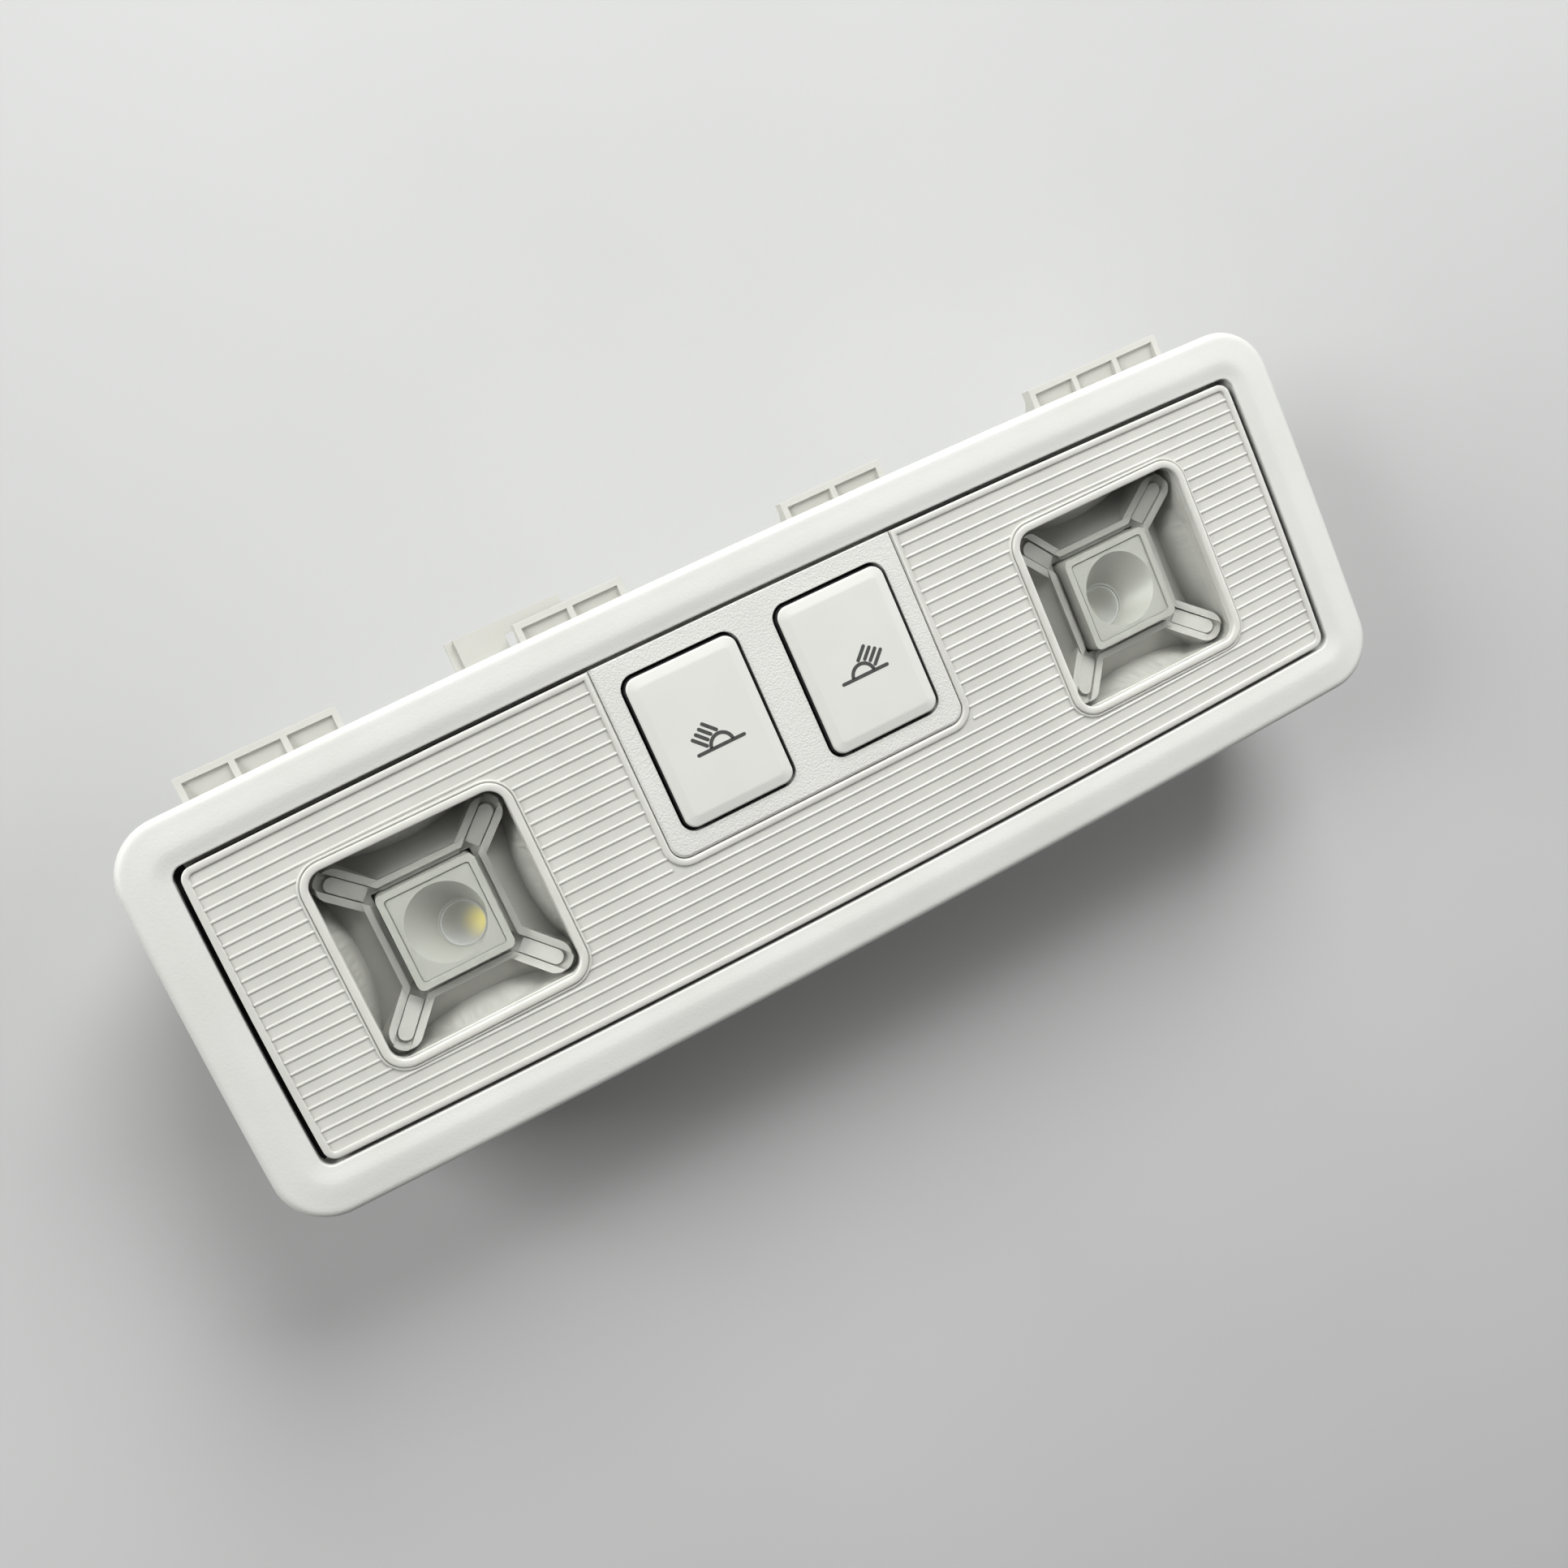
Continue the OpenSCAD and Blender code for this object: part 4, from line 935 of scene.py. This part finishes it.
class LAMP_OT_light_bowls(LampOperator, bpy.types.Operator):
    """Set a milky bowl over the spot light at the bottom of each slanting cone"""
    bl_idname = "lamp.light_bowls"
    bl_label = "Light bowls"

    def execute(self, context):
        sizes = self.sizes
        milky = finish_of(milky_bowl, sizes)
        for name, side in SIDES:
            mesh = one_material(self.bowl(sizes, side), milky)
            new_piece(f"light_bowl_{name}", mesh, "lamp",
                      smooth=math.radians(50))
        return {"FINISHED"}

    def bowl(self, sizes, side):
        """Half an ellipsoid sunk into a plug that fills the passage under the cone."""
        top, low, deepest = 8.1 * MM, 12.6 * MM, 11.6 * MM
        mouth, rim, foot = 3.25 * MM, 0.12 * MM, 2.78 * MM
        rows = [(mouth * rise, deepest - (deepest - top) * run)
                for run, rise in quarter_round(14)]
        # A fine round rim, which catches the light
        rows += [(mouth + rim + x, top - y)
                 for x, y in arc_points((0, 0), rim, 180, 6, -180)[1:]]
        rows.append((foot, low))
        # The cone's lower half leans: where its middle starts, and how far it moves
        start_x, start_y, start_depth = 2.2 * MM - sizes.spot_x, -1.9 * MM, 7.5 * MM
        lean_x, lean_y, fall = 1.76 * MM, -1.52 * MM, 6.6 * MM
        rings = []
        for r, depth in rows:
            share = (depth - start_depth) / fall
            centre = (start_x + lean_x * share, start_y + lean_y * share)
            rings.append([(-side * x, y, sizes.face_z - depth)
                          for x, y in circle_points(centre, r, 64)])
        return loft("light bowl", rings)


class LAMP_OT_signs(LampOperator, bpy.types.Operator):
    """Print the reading light sign on each button: a lamp under the roof and its rays"""
    bl_idname = "lamp.signs"
    bl_label = "Signs"

    def execute(self, context):
        ink = finish_of(pad_printed_ink, self.colours)
        outwards, aside, down = 0.5 * MM, 0.32 * MM, 2.48 * MM
        for name, side in SIDES:
            low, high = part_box(f"button_{name}")
            middle = (low + high) / 2
            place = (middle.x - side * outwards + aside, middle.y - down)
            mesh = one_material(self.sign(place, side, high.z), ink)
            new_piece(f"sign_{name}", mesh, f"button_{name}",
                      smooth=math.radians(30))
        return {"FINISHED"}

    def sign(self, place, side, top):
        """All strokes of one sign, drawn for the left button and mirrored for the right."""
        stroke, dome_r = self.sizes.icon_stroke / 2, 1.83 * MM
        outlines = [self.bar((-4.07 * MM, 0), (3.65 * MM, 0), stroke),
                    self.dome(dome_r, stroke)]
        ray_gap, first_ray, rays_from = 0.93 * MM, 1.73 * MM, 2.45 * MM
        shortest, longer = 4.1 * MM, 0.17 * MM
        slant, aside = Vector((-1, 1)).normalized(), Vector((1, 1)).normalized()
        for k in range(4):
            offset = first_ray - ray_gap * k
            near = math.sqrt(rays_from ** 2 - offset ** 2)
            outlines.append(self.bar(aside * offset + slant * near,
                                     aside * offset + slant * (shortest + longer * k), stroke))
        sunk, proud = top - 0.05 * MM, top - 0.006 * MM
        return gathered("sign", [
            loft("stroke", prism([(place[0] - side * x, place[1] + y) for x, y in outline],
                                 sunk, proud)) for outline in outlines])

    def bar(self, start, end, half):
        """A straight stroke with round ends."""
        start, end = Vector(start), Vector(end)
        turn = math.degrees(math.atan2(end.y - start.y, end.x - start.x))
        return (arc_points(end, half, turn - 90, 8, 180)
                + arc_points(start, half, turn + 90, 8, 180))

    def dome(self, radius, half):
        """A half ring that stands on the line."""
        foot = math.degrees(math.asin(half * 0.6 / radius))
        outer, inner = (arc_points((0, 0), r, foot, 32, 180 - 2 * foot)
                        for r in (radius + half, radius - half))
        return outer + inner[::-1]


class LAMP_OT_moulded_parts(LampOperator, bpy.types.Operator):
    """Give the panel, trims, reflectors, housing and socket their mould radii and finishes"""
    bl_idname = "lamp.moulded_parts"
    bl_label = "Moulded parts"

    def execute(self, context):
        colours, sizes = self.colours, self.sizes
        panel = moulded_copy("switch_panel", 0.15 * MM, front=0.6 * MM)
        self.place(panel, "panel_plate", "panel_plastic", "switch_panel",
                   finish_of(coarse_grained_abs, colours, sizes))
        tub = moulded_copy("rear_housing", 0.15 * MM)
        self.raise_lug_floors(tub, sizes)
        self.place(tub, "housing_tub", "housing_plastic", "rear_housing",
                   finish_of(moulded_housing, colours))
        self.place(moulded_copy("connector_socket", 0.12 * MM), "harness_socket",
                   "black_plastic", "connector_socket", finish_of(black_nylon))
        for name, side in SIDES:
            node = f"spot_trim_{name}"
            trim = self.inlaid(moulded_copy(node, 0.14 * MM), sizes, side)
            self.place(trim, f"dished_trim_{name}", "trim_plastic", node,
                       finish_of(satin_trim, colours))
            node = f"spot_reflector_{name}"
            block = self.lined(moulded_copy(node, 0.1 * MM), sizes, side)
            self.place(block, f"reflector_block_{name}", "trim_plastic", node,
                       finish_of(satin_reflector, colours))
        return {"FINISHED"}

    def place(self, mesh, name, slot, node, material):
        new_piece(name, one_material(mesh, material), "lamp", [node], flats=True)

    def raise_lug_floors(self, mesh, sizes):
        """The lugs' pockets end in shallow floors, not far below their rims."""
        floor, wall, rise = sizes.face_z - 9.6 * MM, 29.5 * MM, 1.05 * MM
        for vertex in mesh.vertices:
            if vertex.co.y > wall and abs(vertex.co.z - floor) < 0.25 * MM:
                vertex.co.z += rise

    def lined(self, mesh, sizes, side):
        """A reflector block with a fine groove at the foot of its raised rim."""
        half, corner, face = 6.7 * MM, 0.55 * MM, sizes.face_z - 3.45 * MM
        outline = rounded_outline(half, half, corner, centre=(side * sizes.spot_x, 0))
        bead = swept_beads(bead_sweep_tree(), [([(x, y, face) for x, y in outline], True)],
                           Width=0.18 * MM, Height=0.14 * MM, Sink=0.14 * MM, Squareness=1,
                           Material=None)
        return applied(boolean(working(mesh), bead, "DIFFERENCE"))

    def inlaid(self, mesh, sizes, side):
        """A trim with a raised floor strip in each arm's groove. A narrow moat round the
        strip draws the dark joint line that shows there."""
        start, depth, fall = 12.3 * MM, 5.5 * MM, math.radians(-22)
        near_end, reach, half = -0.5 * MM, 5.2 * MM, 1.19 * MM
        strips = []
        for k in range(4):
            arm = (Matrix.Translation((-sizes.spot_x, 0, sizes.face_z))
                   @ Matrix.Rotation(math.radians(45 + 90 * k), 4, "Z")
                   @ Matrix.Translation((start, 0, -depth)) @ Matrix.Rotation(fall, 4, "Y"))
            rings = []
            for inset, z in ((0, -1.2 * MM), (0, -0.36 * MM), (0.03 * MM, -0.3 * MM),
                             (0.1 * MM, -0.27 * MM)):
                r = half - inset
                ring = [(near_end + inset, -r), (reach / 2, -r),
                        *arc_points((reach, 0), r, -90, 16, 180), (reach / 2, r),
                        (near_end + inset, r)]
                points = [arm @ Vector((x, y, z)) for x, y in ring]
                rings.append([(-side * p.x, p.y, p.z) for p in points])
            strips.append(loft("strip", rings))
        return applied(boolean(working(mesh), working(gathered("strips", strips)), "UNION"))


class LAMP_OT_finishes(LampOperator, bpy.types.Operator):
    """Give every CAD node that stays its own finish"""
    bl_idname = "lamp.finishes"
    bl_label = "Finishes"

    def execute(self, context):
        finishes = {
            finish_of(opal_pmma, self.colours): ["diffuser"],
            finish_of(white_polypropylene): ["reflector_tray"],
            finish_of(led_phosphor): ["spot_led_left", "spot_led_right", "ambient_leds"],
            finish_of(solder_mask): ["circuit_board"],
            finish_of(black_nylon): ["driver_chip", "chip_resistors", "switch_body_left",
                                     "switch_body_right"],
            finish_of(acetal): ["plunger_left", "plunger_right"],
            finish_of(drawn_aluminium): ["capacitor"],
            finish_of(tinned_brass): ["connector_pins"],
            finish_of(zinced_steel): ["spring_clip_left", "spring_clip_right",
                                      "board_screws"],
        }
        for material, names in finishes.items():
            for name in names:
                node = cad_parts[name]
                if not node.material_slots:
                    node.data.materials.append(material)
                for slot in node.material_slots:
                    slot.material = material
        return {"FINISHED"}


class LAMP_OT_stage(LampOperator, bpy.types.Operator):
    """Lay the plain floor, hang the soft lights and set up the camera"""
    bl_idname = "lamp.stage"
    bl_label = "Stage"

    def execute(self, context):
        self.floor()
        # The camera's own axes, as the photograph was taken
        right = Vector((0.87042318, -0.40318955, 0.2824919))
        up = Vector((0.43527018, 0.89836686, -0.05896496))
        back = Vector((-0.23000731, 0.17428477, 0.95745572))
        self.camera(right, up, back)
        self.lights(right, up, back)
        self.world()
        bpy.context.scene.view_settings.view_transform = "Standard"
        return {"FINISHED"}

    def floor(self):
        half, cuts, thickness = 2.2, 24, 0.02
        bm = bmesh.new()
        bmesh.ops.create_grid(bm, x_segments=cuts, y_segments=cuts, size=half)
        slab = working(built("floor", bm))
        solid = slab.modifiers.new("Thickness", "SOLIDIFY")
        solid.thickness = thickness
        solid.offset = -1
        mesh = one_material(applied(slab), finish_of(matt_floor, self.colours))
        working(mesh, "floor")

    def camera(self, right, up, back):
        """The photograph's view: its focal length and its frame are measured in pixels."""
        focal, side, sensor = 2008, 1932, 36
        data = bpy.data.cameras.new("view")
        data.sensor_width = sensor
        data.lens = sensor * focal / side
        data.clip_start = 10 * MM
        camera = working(data, "view")
        turn = Matrix((right, up, back)).transposed().to_4x4()
        place = Vector((-63.125, 39.894, 271.882)) * MM
        camera.matrix_world = Matrix.Translation(place) @ turn
        bpy.context.scene.camera = camera

    def lights(self, right, up, back):
        """Soft lights: one above the top edge, one at the left and a low one at the right.
        Each has a direction from the lamp, a distance, the side of its square and watts."""
        aim = Vector((0, 0, 0.02))
        for name, direction, distance, size, power in (
                ("key", up * 1.25 + back * 1.0 + right * 0.3, 0.9, 0.5, 8.3),
                ("side", back * 1.0 - right * 0.9 + up * 0.1, 1.0, 0.5, 6.6),
                ("low", back * 0.35 + right * 1.2 + up * 0.3, 1.0, 0.6, 2.7)):
            data = bpy.data.lights.new(name, "AREA")
            data.shape = "SQUARE"
            data.size = size
            data.energy = power
            place = aim + direction.normalized() * distance
            working(data, name).matrix_world = (
                Matrix.Translation(place)
                @ (place - aim).to_track_quat("Z", "Y").to_matrix().to_4x4())

    def world(self):
        world = bpy.data.worlds.new("soft room")
        world.use_nodes = True
        world.node_tree.nodes.clear()
        room = add(world.node_tree, "ShaderNodeBackground",
                   {"Color": linear("F6F6F5"), "Strength": 0.05})
        add(world.node_tree, "ShaderNodeOutputWorld", links={"Surface": room})
        bpy.context.scene.world = world


class LAMP_PT_looks(bpy.types.Panel):
    """Lists the lamp's sizes, colours and pieces"""
    bl_idname = "LAMP_PT_looks"
    bl_label = "Dome light"
    bl_space_type = "VIEW_3D"
    bl_region_type = "UI"
    bl_category = "Dome light"

    def draw(self, context):
        for group in (context.scene.lamp_sizes, context.scene.lamp_colours):
            box = self.layout.box()
            for name in group.bl_rna.properties.keys():
                if name not in ("rna_type", "name"):
                    box.prop(group, name)
        for operator in OPERATORS:
            self.layout.operator(operator.bl_idname)


OPERATORS = (LAMP_OT_stage, LAMP_OT_bezel, LAMP_OT_lens, LAMP_OT_buttons, LAMP_OT_signs,
             LAMP_OT_light_bowls, LAMP_OT_moulded_parts, LAMP_OT_finishes)
CLASSES = (LampSizes, LampColours, *OPERATORS, LAMP_PT_looks)


def register():
    for item in CLASSES:
        bpy.utils.register_class(item)
    bpy.types.Scene.lamp_sizes = bpy.props.PointerProperty(type=LampSizes)
    bpy.types.Scene.lamp_colours = bpy.props.PointerProperty(type=LampColours)


def unregister():
    del bpy.types.Scene.lamp_sizes
    del bpy.types.Scene.lamp_colours
    for item in reversed(CLASSES):
        bpy.utils.unregister_class(item)


def main():
    register()
    for operator in OPERATORS:
        group, name = operator.bl_idname.split(".")
        getattr(getattr(bpy.ops, group), name)()


if __name__ == "__main__":
    main()
